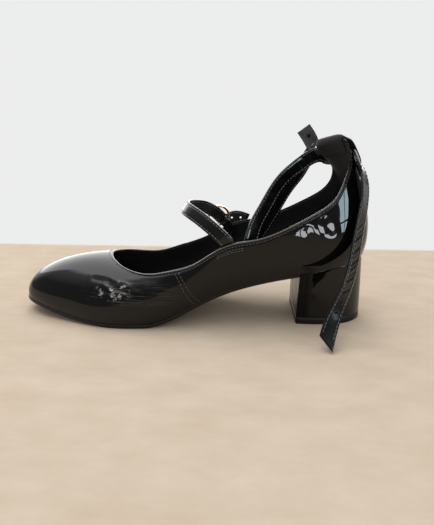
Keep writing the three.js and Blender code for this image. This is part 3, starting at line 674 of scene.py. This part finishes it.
def slab_sections(places, out, under_cut, top_at, bottom_at, columns, radius):
    """Closed sections across a sole: flat top, rounded edges that draw in by the under cut, flat bottom."""
    medial, lateral = edges_at(places, out)
    across = np.linspace(0, 1, columns)[:, None]
    turn = np.linspace(np.pi / 2, -np.pi / 2, 9)[:, None]
    sections = []
    middle = medial[:, None] * (1 - across) + lateral[:, None] * across
    station = middle[..., 0] + ORIGIN_FROM_TOE
    top = np.concatenate([middle[..., :2], top_at(station)[..., None]], -1)
    width = np.linalg.norm(lateral - medial, axis=1)
    inner = np.minimum(radius, width / 2)
    for edge, mirrored in ((lateral, ROUND - places), (medial, places)):
        outward = outward_at(mirrored)[:, None]
        station = edge[:, :1] + ORIGIN_FROM_TOE
        high, low = top_at(station), bottom_at(station)
        drop = (1 - np.sin(turn[:, 0])) / 2
        point = edge[:, None] + outward * (np.cos(turn) * inner[:, None, None] - drop[:, None] * under_cut)
        height = high + (low - high) * drop
        sections.append(np.concatenate([point[..., :2], height[..., None]], -1))
    lateral_edge, medial_edge = sections
    across_bottom = across[::-1]
    low_medial, low_lateral = medial_edge[:, -1:], lateral_edge[:, -1:]
    bottom = low_medial * (1 - across_bottom) + low_lateral * across_bottom
    bottom[..., 2] = bottom_at(bottom[..., 0] + ORIGIN_FROM_TOE)
    return np.concatenate([top, lateral_edge[:, 1:-1], bottom, medial_edge[:, 1:-1][:, ::-1]], 1)


def sole_out(station):
    """The sole stands out at the forefoot and draws in under the arch."""
    return SOLE_REVEAL + (-SHANK_INSET - SOLE_REVEAL) * smoothstep(station, 105, 160) - 0.5


def make_outsole():
    """The sole from the toe to the heel's breast, with its edge rounded by half a millimetre."""
    end = place_at_station(HEEL_BREAST - GAP)
    places = np.concatenate([np.linspace(0, 1, 30)[:-1] ** 1.5, np.linspace(1, end, 170)])
    station = feather_at(places)[:, 0] + ORIGIN_FROM_TOE
    sections = slab_sections(places, sole_out(station), 0.5, sole_top_at, ground_at, 14, 0.5)
    return tube_piece("outsole_edge_and_tread", sections, RUBBER, ["outsole"])


def make_sock():
    """The sock lies on the inside of the sole, up against the lining, softly dished at its edge."""
    places = np.concatenate([np.linspace(0, 1, 30)[:-1] ** 1.5, np.linspace(1, LAST_ROW - 0.02, 190)])
    out = np.full(len(places), -WALL - 0.55)

    def top(station):
        return sole_top_at(station) + GAP + INSOLE_THICKNESS

    def bottom(station):
        return sole_top_at(station) + GAP

    sections = slab_sections(places, out, 0.2, top, bottom, 24, 0.5)
    return tube_piece("sock", sections, SOCK, ["insole"])


def heel_outline(share, taper, grow=0.0):
    """Plan of the heel as a closed loop: medial side to the back, lateral side forward, straight breast."""
    breast = place_at_station(HEEL_BREAST)
    seat_front = feather_at(breast)[0] + ORIGIN_FROM_TOE
    seat_length = FEATHER[-1, 0] - seat_front
    seat_half_width = -FEATHER[11, 1]
    place = breast + (LAST_ROW - breast) * share
    loops = []
    for u in (place, (ROUND - place)[::-1]):
        seat = feather_at(u) - outward_at(u) * 0.2
        back_share = (feather_at(u)[:, 0] + ORIGIN_FROM_TOE - seat_front) / seat_length
        width_share = HEEL_FOOT_WIDTH / 2 / seat_half_width * (1 + 0.16 * back_share ** 2)
        foot_x = HEEL_BREAST - ORIGIN_FROM_TOE + back_share * HEEL_FOOT_LENGTH - 0.6
        x = seat[:, 0] * (1 - taper) + foot_x * taper
        y = seat[:, 1] * (1 - taper + width_share * taper)
        loops.append(np.stack([x, y], 1))
    loop = np.concatenate([loops[0], loops[1][1:]])
    loop = np.concatenate([loop, loop[:1]])
    reach = np.concatenate([[0], np.cumsum(np.linalg.norm(np.diff(loop, axis=0), axis=1))])
    even = np.linspace(0, reach[-1], 280, endpoint=False)
    loop = np.stack([np.interp(even, reach, loop[:, k]) for k in range(2)], 1)
    for _ in range(3):
        loop = (np.roll(loop, 1, 0) + loop * 2 + np.roll(loop, -1, 0)) / 4
    run = np.roll(loop, -1, 0) - np.roll(loop, 1, 0)
    return loop + unit(np.stack([run[:, 1], -run[:, 0]], 1)) * grow


def heel_sections(levels, tapers, height, grows):
    """Rings of the heel's outline at levels from the seat (0) to the foot (1)."""
    share = np.linspace(0, 1, 60) ** 0.9
    rings = []
    for level, taper, grow in zip(levels, tapers, grows):
        loop = heel_outline(share, taper, grow)
        rings.append(np.column_stack([loop, height(loop[:, 0] + ORIGIN_FROM_TOE, level)]))
    return np.array(rings)


PLEAT_SCALE = 110.0
PLEATS_END = (-0.0150, -0.0120)  # metres in front of the heel's middle, where the pleats fade


def heel_leather():
    """The patent leather again, drawn into narrow upright pleats at the front corners of the heel."""
    material = PATENT.copy()
    material.name = "heel_leather"
    nodes, links = material.node_tree.nodes, material.node_tree.links
    shader = nodes["Principled BSDF"]
    wave = nodes.new("ShaderNodeTexWave")
    wave.inputs["Scale"].default_value = PLEAT_SCALE
    wave.inputs["Distortion"].default_value = 0.8
    wave.inputs["Detail"].default_value = 0.0
    coordinates = nodes.new("ShaderNodeTexCoord").outputs["Object"]
    links.new(coordinates, wave.inputs["Vector"])
    separate = nodes.new("ShaderNodeSeparateXYZ")
    links.new(coordinates, separate.inputs["Vector"])
    front = nodes.new("ShaderNodeMapRange")
    links.new(separate.outputs["X"], front.inputs["Value"])
    for socket, number in zip(("From Min", "From Max", "To Min", "To Max"), (*PLEATS_END, 1.0, 0.0)):
        front.inputs[socket].default_value = number
    dulled = nodes.new("ShaderNodeMapRange")
    dulled.inputs["To Min"].default_value = 1.0
    dulled.inputs["To Max"].default_value = 0.3
    links.new(front.outputs["Result"], dulled.inputs["Value"])
    links.new(dulled.outputs["Result"], shader.inputs["Coat Weight"])
    for socket in ("Normal", "Coat Normal"):
        pleat = nodes.new("ShaderNodeBump")
        pleat.inputs["Distance"].default_value = 0.6 * METRES
        links.new(front.outputs["Result"], pleat.inputs["Strength"])
        links.new(wave.outputs["Fac"], pleat.inputs["Height"])
        links.new(shader.inputs[socket].links[0].from_socket, pleat.inputs["Normal"])
        links.new(pleat.outputs["Normal"], shader.inputs[socket])
    return material


def make_heel():
    """A covered block that runs in from the seat, and the rubber top piece it walks on."""
    foot = TOP_PIECE_THICKNESS + 0.15
    levels = np.concatenate([[0, 0, 0.006], np.linspace(0.02, 0.985, 26), [0.996, 1, 1]])
    grows = np.concatenate([[-6, -0.6, -0.1], np.zeros(26), [-0.12, -0.5, -6]])
    block = heel_sections(
        levels, levels ** 0.8,
        lambda station, level: sole_top_at(station) * (1 - level) + foot * level, grows)
    tube_piece("heel_cover", block, heel_leather(), ["heel_block"])
    depth = np.array([0, 0, 0.08, 0.3, 0.6, 0.9, 0.97, 1, 1])
    inset = np.array([-6, -0.35, -0.05, 0, 0, 0, -0.1, -0.35, -6])
    rubber = heel_sections(
        depth, np.full(len(depth), 1.0),
        lambda station, level: TOP_PIECE_THICKNESS * (1 - level) + 0 * station, inset)
    tube_piece("top_piece_rubber", rubber, RUBBER, ["top_piece"])


# --- Straps ----------------------------------------------------------------------------------------

# Middle of the strap as station, offset and height, then the way its width lies.
INSTEP_STRAP_START = np.array([
    (157, -25, 53, 1, 0, 0.15), (154.5, -25.4, 60, 0.85, 0, 0.5), (149, -25.2, 66.5, 0.75, 0, 0.66),
    (138.5, -19, 74, 0.74, 0, 0.67), (129, -11, 78.6, 0.66, 0, 0.75), (123.2, -1, 80.4, 0.59, 0, 0.81),
    (125.6, 9.5, 79.8, 0.62, 0, 0.78), (133, 19.5, 77, 0.68, 0.05, 0.73),
])
INSTEP_STRAP_END = np.array([(158, 34, 65.6, 0.3, 0, 0.95), (168, 35, 63, 0.15, 0, 0.99)])
BUCKLE_STRAP_START = np.array([(157, 26.3, 53, 1, 0, 0.3), (154, 26.2, 58.2, 0.85, 0, 0.5)])
TAIL = np.array([
    (217.4, -56.6, 5.7, -0.97, 0, -0.1), (221.2, -49.8, 16.3, -0.95, -0.2, 0),
    (225.8, -44, 25.5, -0.9, -0.42, 0.15), (231.8, -38, 38.5, -0.8, -0.55, 0.25),
    (236, -31.5, 52, -0.76, -0.63, 0.15), (238.6, -25.2, 66, -0.74, -0.66, 0.1),
    (240.8, -20.6, 79, -0.72, -0.68, 0.05), (242, -18, 91, -0.66, -0.74, 0),
    (241.2, -17.6, 100, -0.62, -0.78, 0.05), (239.4, -17, 107, -0.55, -0.8, 0.25),
    (237.6, -15, 112.2, -0.5, -0.6, 0.62),
])
FRONT_STRAND = np.array([
    (223, 18.6, 113.6, -0.1, 0.4, 0.9), (218, 18.6, 114.8, -0.08, 0.4, 0.9),
    (212.5, 15, 114.3, -0.22, 0.15, 0.92), (205.9, 11.5, 110.9, -0.5, -0.1, 0.75),
    (198.9, 8.5, 106.2, -0.66, -0.32, 0.5), (191.9, 5, 100.4, -0.74, -0.46, 0.32),
    (185.4, 0, 92.5, -0.78, -0.54, 0.16), (178.6, -7, 81.6, -0.82, -0.56, 0.05),
    (173.2, -13, 72.5, -0.82, -0.57, 0), (169.6, -19, 61.7, -0.85, -0.5, 0),
    (167.6, -20.4, 50, -0.92, -0.35, 0), (166.6, -16, 41, -0.97, -0.15, 0),
    (167.6, -8.5, 39.6, -0.99, 0.05, 0), (170, -4, 47, -0.97, -0.15, 0.05),
    (173, -4, 57.5, -0.93, -0.32, 0.1), (178.6, -1, 67, -0.87, -0.42, 0.2),
    (185, 4, 76.5, -0.82, -0.46, 0.25), (192, 10, 87.5, -0.78, -0.48, 0.33),
    (198.8, 15.5, 96.4, -0.72, -0.38, 0.48), (205.6, 21.5, 104.8, -0.68, -0.12, 0.65),
])
SHORT_END = np.array([
    (211, 25.9, 126, 0.78, 0, 0.62), (205.9, 24.5, 132.7, 0.78, 0, 0.62),
])
STATIONS = np.array([ORIGIN_FROM_TOE, 0, 0, 0, 0, 0])
TAIL_CUT = 3.9  # slant of the tail's tip, at the strap's edge
SHORT_END_CUT = -0.3
FOLD_START = (-12.6, 28.2, 114.6)  # where the strap turns over to its short end
WAY_INTO_FOLD = (0.65, 0.48, 0.58)
WAY_OUT_OF_FOLD = (-0.6, -0.15, 0.78)
FOLD_RADIUS = 1.7
STRAP_OUT_OF_TAB = 1.95

RING_MIDDLE = np.array([145.5 - ORIGIN_FROM_TOE, 27, 68])
RING_RUN = unit(np.array([0.68, 0.2, -0.7]))
RING_SIDE = unit(np.array([0.72, 0, 0.69]))
RING_OUT = unit(np.cross(RING_SIDE, RING_RUN))


def by_ring(*places):
    """Rows beside the buckle's ring: how far along the strap's run, and how far out."""
    return np.array([
        np.concatenate([RING_MIDDLE + RING_RUN * run + RING_OUT * out, RING_SIDE]) for run, out in places])


def fold_rows(start, before, after, radius, turns):
    """Rows of a flat strap that turns half round an axis midway between its old way and its new one.

    P = start - r n + r (n cos t + b sin t) + a r t (w.a / w.b), with w the old way, a the axis, b across it
    and n = a x b; the width lies along the run at each turn t crossed with the face.
    """
    before, after = unit(np.array(before)), unit(np.array(after))
    axis, bulge = unit(before + after), unit(before - after)
    outer = np.cross(axis, bulge)
    advance, swing = before @ axis, before @ bulge
    turns = turns[:, None]
    out = outer * np.cos(turns) + bulge * np.sin(turns)
    run = axis * advance + (bulge * np.cos(turns) - outer * np.sin(turns)) * swing
    place = np.array(start) + (out - outer) * radius + axis * radius * turns * advance / swing
    return np.concatenate([place, np.cross(run, out)], 1)


class Strap:
    """A flat strap's middle line: points, width ways, faces and reach along it, at even steps."""

    def __init__(self, rows, width, thickness, start_cut=0.0, end_cut=0.0, step=0.9):
        place_at, side_at = spline(rows[:, :3]), spline(rows[:, 3:])
        last = len(rows) - 1
        fine = np.linspace(0, last, 6000)
        reach = np.concatenate([[0], np.cumsum(np.linalg.norm(np.diff(place_at(fine), axis=0), axis=1))])
        self.length = reach[-1]
        inner = np.linspace(0.35, self.length - 0.35, int(self.length / step))
        self.reach = np.concatenate([[0, 0.1], inner, [self.length - 0.1, self.length]])
        u = np.interp(self.reach, reach, fine)
        self.place = place_at(u)
        self.run = unit(place_at(np.minimum(u + 0.02, last)) - place_at(np.maximum(u - 0.02, 0)))
        side = side_at(u)
        self.side = unit(side - self.run * np.sum(side * self.run, axis=1, keepdims=True))
        self.out = np.cross(self.side, self.run)
        self.width, self.thickness = width, thickness
        from_start, from_end = self.reach, self.length - self.reach
        self.cut = start_cut * (1 - smoothstep(from_start, 0, 9)) + end_cut * (1 - smoothstep(from_end, 0, 9))
        self.rounding = np.minimum(np.sqrt(np.clip(np.minimum(from_start, from_end) / 0.35, 0.1, 1)), 1)

    def points(self, across, lift):
        """Points at distances across the strap and over its middle; both go with the reach or are single."""
        across = np.broadcast_to(across, (len(self.reach), np.shape(across)[-1]))
        lift = np.broadcast_to(lift, across.shape) * self.rounding[:, None]
        slant = across / (self.width / 2) * self.cut[:, None]
        return (self.place[:, None] + self.side[:, None] * across[..., None]
                + self.out[:, None] * lift[..., None] + self.run[:, None] * slant[..., None])

    def row(self, across, lift, start=0.0, end=0.0):
        """A line of points along the strap for stitches, short of its ends."""
        kept = (self.reach > start) & (self.reach < self.length - end)
        return self.points(np.array([across]), np.array([lift]))[kept, 0], self.out[kept] * np.sign(lift)


def strap_profile(width, thickness):
    """Half loop across the face: rounded folded edge, bead, stitch channel and slightly full middle."""
    half = width / 2
    face = np.array([-half + 0.55, -half + 0.9, -half + 1.3, -half + 1.6, -half + 2.0, -half + 2.6,
                     -half * 0.25, half * 0.25, half - 2.6, half - 2.0, half - 1.6, half - 1.3,
                     half - 0.9, half - 0.55])
    from_edge = half - np.abs(face)
    lift = thickness / 2 - 0.12 * np.exp(-((from_edge - 1.45) / 0.35) ** 2)
    turn = np.linspace(90, -90, 7)[1:-1] * np.pi / 180
    edge = thickness / 2
    right = np.stack([half - edge * 0.7 + edge * 0.7 * np.cos(turn), edge * np.sin(turn)], 1)
    back = np.linspace(half - 0.9, -half + 0.9, 8)
    left = right[::-1] * [-1, 1]
    return np.concatenate([
        np.stack([face, lift], 1), right, np.stack([back, np.full(8, -thickness / 2)], 1), left])


def make_strap(name, strap, replaced, wrinkles=(), backed=True, stitched=True, ends=(2.5, 2.5)):
    """Coated leather folded round both edges, a matt backing between the folds and a stitch row by each."""
    profile = strap_profile(strap.width, strap.thickness)
    lift = np.broadcast_to(profile[:, 1], (len(strap.reach), len(profile))).copy()
    for start, end, pitch, slant, height in wrinkles:
        phase = (strap.reach[:, None] + slant * profile[:, 0]) / pitch * 2 * np.pi
        within = smoothstep(strap.reach, start, start + 6) * (1 - smoothstep(strap.reach, end - 6, end))
        inside = np.clip(1 - (np.abs(profile[:, 0]) / (strap.width / 2 - 0.6)) ** 4, 0, 1)
        ripple = np.sin(phase) + 0.5 * np.sin(phase * 0.43 + 1)
        lift += height * ripple * within[:, None] * inside
    sections = strap.points(profile[:, 0], lift)
    pieces = [tube_piece(name + "_patent", sections, STRAP_PATENT, replaced)]
    if backed:
        half = strap.width / 2 - 1.35
        across = np.linspace(-half, half, 9)
        low = -strap.thickness / 2
        shell = np.concatenate([np.full(9, low - 0.14), np.full(9, low + 0.2)])
        shell[[0, 8]] += 0.08
        backing_lift = shell + lift[:, 6:7] - profile[6, 1]
        kept = (strap.reach > 1.2) & (strap.reach < strap.length - 1.2)
        backing_points = strap.points(np.concatenate([across, across[::-1]]), backing_lift)
        pieces.append(tube_piece(name + "_backing", backing_points[kept], STRAP_BACK, replaced))
    if stitched:
        inset = strap.width / 2 - 1.45
        rows = [strap.row(edge * inset, strap.thickness / 2 - 0.1, *ends) for edge in (-1, 1)]
        rows += [strap.row(edge * inset, -strap.thickness / 2 - 0.02, *ends) for edge in (-1, 1)]
        stitches(name + "_stitches", rows, 2.6, 1.9, 0.18, PALE_PAINTED_THREAD)
    return pieces


def punch(pieces, strap, reaches, diameter, lifts=(-2.5, 2.5)):
    """Round holes in a strap at distances along it, cut by rods between two heights over its middle."""
    turn = np.linspace(0, 2 * np.pi, 24, endpoint=False)
    for number, reach in enumerate(reaches):
        i = np.argmin(np.abs(strap.reach - reach))
        ring = strap.run[i] * np.cos(turn)[:, None] + strap.side[i] * np.sin(turn)[:, None]
        rod = np.array([strap.place[i] + strap.out[i] * lift + ring * diameter / 2 for lift in lifts])
        mesh = bpy.data.meshes.new("punch")
        loops = [list(range(24)), list(range(24, 48))[::-1]]
        quads = grid_faces(2, 24, wrap_columns=True)
        points = rod.reshape(-1, 3)
        if volume_of(points, quads) < 0:
            quads = quads[:, ::-1]
        mesh.from_pydata((points * METRES).tolist(), [], quads.tolist() + loops)
        mesh.update()
        cutter = bpy.data.objects.new("punch", mesh)
        bpy.context.scene.collection.objects.link(cutter)
        for piece in pieces:
            cut = piece.modifiers.new(f"hole_{number}", "BOOLEAN")
            cut.object = cutter
            cut.operation = "DIFFERENCE"
            cut.solver = "EXACT"
            shaped = piece.evaluated_get(bpy.context.evaluated_depsgraph_get())
            result = bpy.data.meshes.new_from_object(shaped)
            piece.modifiers.clear()
            piece.data = result
        bpy.data.objects.remove(cutter)


# --- Heel loop -------------------------------------------------------------------------------------

TAB_ROUND = (16.4, 19.6)
TUNNEL_ROUND = (16.2, 19.5)
TUNNEL_DEPTH = (13.0, 11.5)  # below the tab's top edge, where the ankle strap comes in and where it leaves
TAB_RISE = 80.0
LOOP_PATH = np.array([
    (9, -3.2), (3, -3.2), (0.3, -2.9), (-2, -0.9), (0.3, 1.3), (3, 3.6), (7, 4.5), (12, 4.6), (17, 4.3),
    (20.5, 2.5), (24, 1.4), (27, 1.4),
])


def beside_tab(u, depth, out):
    """A place beside the heel tab: so far below its top edge, and so far out from its outer face."""
    v = 1 - np.maximum(depth, 0) / TAB_RISE
    point = upper_at(u, v) + upper_normal(u, v) * out[..., None]
    up = unit(upper_at(u, 1.0) - upper_at(u, 0.96))
    return point + up * np.maximum(-depth, 0)[..., None]


def make_loop():
    """A band that folds over the tab's top edge and bows out over the ankle strap."""
    path = spline(LOOP_PATH)(np.linspace(0, len(LOOP_PATH) - 1, 110))
    u = np.linspace(*TAB_ROUND, 36)[:, None]
    u, depth = np.broadcast_arrays(u, path[:, 0])
    middle = beside_tab(u, depth, np.broadcast_to(path[:, 1], u.shape))
    outward = unit(np.cross(np.gradient(middle, axis=0), np.gradient(middle, axis=1)))
    share_across = np.abs(np.linspace(-1, 1, 36))[:, None]
    share_along = np.abs(np.linspace(-1, 1, 110))
    fold = 0.22 * np.exp(-((share_across - 0.86) / 0.05) ** 2) * (share_across < 0.93)
    rounding = np.clip(1 - share_across ** 16, 0.05, 1) * np.clip(1 - share_along ** 60, 0.05, 1)
    half = LOOP_THICKNESS / 2 * np.sqrt(rounding)
    half = (half - fold * 0.6)[..., None]
    front, back = middle + outward * half, middle - outward * half
    points = np.concatenate([front.reshape(-1, 3), back.reshape(-1, 3)])
    rows, columns = front.shape[:2]
    size = rows * columns
    front_quads = grid_faces(rows, columns)
    back_quads = front_quads[:, ::-1] + size
    index = np.arange(size).reshape(rows, columns)
    rim = np.concatenate([index[:, 0], index[-1, 1:], index[-2::-1, -1], index[0, -2:0:-1]])
    after = np.roll(rim, -1)
    rim_quads = np.stack([rim, rim + size, after + size, after], 1)
    if volume_of(points, np.concatenate([front_quads, back_quads, rim_quads])) < volume_of(
            points, np.concatenate([front_quads, back_quads])):
        rim_quads = rim_quads[:, ::-1]
    quads = np.concatenate([front_quads, back_quads, rim_quads])
    make_piece("heel_loop_band", points, quads, LOOP_CLOTH, ["heel_loop"])
    rows = []
    for at, lift in ((7, -0.5), (103, 0.5)):
        sign = np.sign(lift)
        facing = outward[:, at] * loop_sign(outward, u, path)
        rows.append((middle[2:-2, at] + facing[2:-2] * lift, facing[2:-2] * sign))
    stitches("heel_loop_stitches", rows, 2.3, 1.8, 0.16, THREAD)


def loop_sign(outward, u, path):
    """One where the band's normals leave the shoe at its bowed part, minus one where they enter it."""
    bowed = np.argmax(path[:, 1])
    away = upper_normal(u[:, bowed], 0.9)
    return np.sign(np.sum(outward[:, bowed] * away))


# --- Buckle ----------------------------------------------------------------------------------------

def round_tube(path, radius):
    """Sections of a round wire along a path, with radius given at each point."""
    run = unit(np.gradient(path, axis=0))
    first = unit(np.cross(run, RING_SIDE + 0.01))
    second = np.cross(run, first)
    turn = np.linspace(0, 2 * np.pi, 16, endpoint=False)[:, None]
    ring = first[:, None] * np.cos(turn) + second[:, None] * np.sin(turn)
    return path[:, None] + ring * radius[:, None, None]


def make_buckle():
    """A round wire ring, and a tapered prong that lies over the instep strap to the ring's far rim."""
    turn = np.linspace(0, 2 * np.pi, 96, endpoint=False)[:, None]
    path = RING_MIDDLE + RING_RADIUS * (RING_RUN * np.cos(turn) + RING_SIDE * np.sin(turn))
    outward = unit(path - RING_MIDDLE)
    axis = unit(np.cross(RING_RUN, RING_SIDE))
    small = np.linspace(0, 2 * np.pi, 20, endpoint=False)[:, None]
    sections = path[:, None] + RING_WIRE * (outward[:, None] * np.cos(small) + axis * np.sin(small))
    ring_piece("ring", sections, GOLD, ["buckle_ring"])
    rows = by_ring((3, 4.2), (-2, 3.1), (-6, 2.2), (-8.9, 1.8))
    share = np.linspace(0, 1, 40)
    path = spline(rows[:, :3])(share * 3)
    round_end = np.sqrt(np.clip(1 - (2 * share - 1) ** 20, 0.02, 1))
    tube_piece("prong", round_tube(path, (0.68 - 0.18 * share) * round_end), GOLD, ["buckle_prong"])


# --- The whole shoe --------------------------------------------------------------------------------

make_upper()
make_lining()
make_upper_stitches()
make_outsole()
make_sock()
make_heel()
make_loop()
make_buckle()

instep_rows = np.concatenate([
    INSTEP_STRAP_START - STATIONS, by_ring((-8, -2.95), (0, 0.9), (8, 4.7)), INSTEP_STRAP_END - STATIONS])
instep_strap = Strap(instep_rows, INSTEP_STRAP_WIDTH, STRAP_THICKNESS, step=0.7)
instep_pieces = make_strap("instep_strap", instep_strap, ["instep_strap"], ends=(6, 2.5))
punch(instep_pieces, instep_strap, instep_strap.length - np.array([6, 13, 20]), 1.5)

buckle_rows = np.concatenate([
    BUCKLE_STRAP_START - STATIONS,
    by_ring((8.6, -2.8), (5.8, -1.9), (4.6, 0), (5.8, 1.8), (9.5, 2.1), (14, 2.3))])
buckle_strap = Strap(buckle_rows, BUCKLE_STRAP_WIDTH, BUCKLE_STRAP_THICKNESS, step=0.5)
make_strap("buckle_strap", buckle_strap, ["buckle_strap"], stitched=False)

tunnel_round = np.linspace(*TUNNEL_ROUND, 4)
tunnel_rows = np.concatenate([
    beside_tab(tunnel_round, np.linspace(*TUNNEL_DEPTH, 4), np.full(4, STRAP_OUT_OF_TAB)),
    unit(upper_at(tunnel_round, 1.0) - upper_at(tunnel_round, 0.75))], 1)
end_fold = fold_rows(FOLD_START, WAY_INTO_FOLD, WAY_OUT_OF_FOLD, FOLD_RADIUS, np.linspace(0, np.pi, 4))
ankle_rows = np.concatenate([
    TAIL - STATIONS, tunnel_rows, FRONT_STRAND - STATIONS, end_fold, SHORT_END - STATIONS])
ankle_strap = Strap(ankle_rows, ANKLE_STRAP_WIDTH, STRAP_THICKNESS, TAIL_CUT, SHORT_END_CUT)
ankle_pieces = make_strap(
    "ankle_strap", ankle_strap, ["ankle_strap"], backed=False,
    wrinkles=[(30, 86, 4.0, 0.9, 0.36)], ends=(4, 3))
punch(ankle_pieces, ankle_strap, [ankle_strap.length - 6.5], 1.9, (-2.5, 0.35))
punch(ankle_pieces, ankle_strap, [14, 21, 28], 1.4)


# --- Floor, light and camera -----------------------------------------------------------------------

FLOOR_END = 0.158  # metres to the lateral side of the heel's middle, where the pale slab ends
WALL_COLOUR = (0.84, 0.845, 0.845)
FILL = 0.62  # what the pale room sends to matt surfaces
ROOM = 0.22  # what shines in gloss from the side of the room
CEILING = 3.6  # what shines in gloss from above
CAMERA_PLACE = (-0.0642, -0.2906, 0.144)
CAMERA_WAY = (-0.0492, 0.939, -0.340)
CAMERA_LENS = 28.66

# Middle, width and height of each pane that shines on the medial side, in metres.
LEFT_PANES = [
    ((0.20, -1.10, 0.055), 0.13, 0.07), ((0.31, -1.07, 0.16), 0.07, 0.05),
    ((0.37, -1.05, 0.085), 0.13, 0.09), ((0.53, -0.98, 0.17), 0.12, 0.11),
    ((0.60, -0.95, 0.07), 0.07, 0.06),
]
PANE_POWER = 46  # watts to a square metre


def make_floor():
    """A pale stone slab under the shoe, on a white sweep that carries on behind it."""
    mesh = bpy.data.meshes.new("floor")
    reach = 6.0
    corners = [(-reach, -reach, 0), (reach, -reach, 0), (reach, reach, 0), (-reach, reach, 0)]
    mesh.from_pydata(corners, [], [(0, 1, 2, 3)])
    floor = bpy.data.objects.new("floor", mesh)
    bpy.context.scene.collection.objects.link(floor)
    stone = Finish("pale_floor", Specular_IOR_Level=0.0)
    grain = stone.noise(30, 9, stone.stretched((1, 2.2, 1)), 0.62)
    stone.colour(stone.spread(grain, 0.25, 0.75), (0.545, 0.442, 0.338), (0.64, 0.54, 0.43))
    stone.rough(stone.spread(grain, 0.3, 0.7, 0.85, 0.95))
    separate = stone.nodes.new("ShaderNodeSeparateXYZ")
    stone.links.new(stone.coordinates, separate.inputs["Vector"])
    behind = stone.spread(separate.outputs["Y"], FLOOR_END - 0.003, FLOOR_END + 0.003)
    white = stone.nodes.new("ShaderNodeEmission")
    white.inputs["Color"].default_value = (*WALL_COLOUR, 1)
    mix = stone.nodes.new("ShaderNodeMixShader")
    stone.links.new(behind, mix.inputs["Fac"])
    stone.links.new(stone.shader.outputs["BSDF"], mix.inputs[1])
    stone.links.new(white.outputs["Emission"], mix.inputs[2])
    stone.links.new(mix.outputs["Shader"], stone.nodes["Material Output"].inputs["Surface"])
    mesh.materials.append(stone.material)


def make_world():
    """A soft fill for matt surfaces, and in gloss a dim room under a bright ceiling.

    The gloss value goes by the height of the direction, plus how far it points to the wall behind the shoe.
    """
    world = bpy.data.worlds.new("studio")
    world.use_nodes = True
    nodes, links = world.node_tree.nodes, world.node_tree.links

    def math(operation, first, second):
        node = nodes.new("ShaderNodeMath")
        node.operation = operation
        for socket, value in zip(node.inputs, (first, second)):
            if isinstance(value, (int, float)):
                socket.default_value = value
            else:
                links.new(value, socket)
        return node.outputs["Value"]

    def spread(value, low, high, start, end):
        node = nodes.new("ShaderNodeMapRange")
        links.new(value, node.inputs["Value"])
        for socket, number in zip(("From Min", "From Max", "To Min", "To Max"), (low, high, start, end)):
            node.inputs[socket].default_value = number
        return node.outputs["Result"]

    separate = nodes.new("ShaderNodeSeparateXYZ")
    links.new(nodes.new("ShaderNodeTexCoord").outputs["Generated"], separate.inputs["Vector"])
    wall = math("MULTIPLY", math("MAXIMUM", separate.outputs["Y"], 0.0), 0.9)
    height = math("ADD", separate.outputs["Z"], wall)
    gloss = math("ADD", spread(height, 0.42, 0.70, ROOM, 1.0), spread(height, 0.70, 0.76, 0.0, CEILING - 1.0))
    ray = nodes.new("ShaderNodeLightPath")
    lit = nodes.new("ShaderNodeMix")
    lit.data_type = "RGBA"
    links.new(ray.outputs["Is Glossy Ray"], lit.inputs["Factor"])
    lit.inputs["A"].default_value = (FILL, FILL, FILL, 1)
    links.new(gloss, lit.inputs["B"])
    seen = nodes.new("ShaderNodeMix")
    seen.data_type = "RGBA"
    links.new(ray.outputs["Is Camera Ray"], seen.inputs["Factor"])
    links.new(lit.outputs["Result"], seen.inputs["A"])
    seen.inputs["B"].default_value = (*WALL_COLOUR, 1)
    links.new(seen.outputs["Result"], nodes["Background"].inputs["Color"])
    bpy.context.scene.world = world


def add_light(name, place, target, size, power, shines, colour=(1, 1, 1)):
    """A rectangular light, in metres and watts, turned to its target; one that shines lights gloss only."""
    lamp = bpy.data.lights.new(name, "AREA")
    lamp.shape = "RECTANGLE"
    lamp.size, lamp.size_y = size
    lamp.energy = power
    lamp.color = colour
    light = bpy.data.objects.new(name, lamp)
    light.location = place
    light.rotation_euler = (Vector(target) - Vector(place)).to_track_quat("-Z", "Y").to_euler()
    light.visible_glossy = shines
    light.visible_diffuse = not shines
    bpy.context.scene.collection.objects.link(light)


def make_camera():
    """The camera stands close in front of the medial side and looks down at the shoe."""
    lens = bpy.data.cameras.new("camera")
    lens.sensor_width = 36
    lens.lens = CAMERA_LENS
    lens.clip_start = 0.01
    camera = bpy.data.objects.new("camera", lens)
    camera.location = CAMERA_PLACE
    camera.rotation_euler = Vector(CAMERA_WAY).to_track_quat("-Z", "Y").to_euler()
    bpy.context.scene.collection.objects.link(camera)
    bpy.context.scene.camera = camera


make_floor()
make_world()
add_light("overhead", (-0.3, 0.2, 1.6), (0, 0, 0), (1.6, 1.2), 20, False)
for place, width, height in LEFT_PANES:
    power = PANE_POWER * width * height
    add_light("window_left", place, (0, 0, 0.07), (width, height), power, True, (0.93, 0.95, 1.0))
for across in (-0.05, 0.05):
    for up in (-0.10, 0.10):
        place = (0.855 + across * 0.7, -0.69 + across * 0.7, 0.27 + up)
        add_light("window_right", place, (0, 0, 0.08), (0.085, 0.175), 0.6, True, (0.70, 0.92, 1.0))
make_camera()
bpy.context.scene.view_settings.view_transform = "Standard"
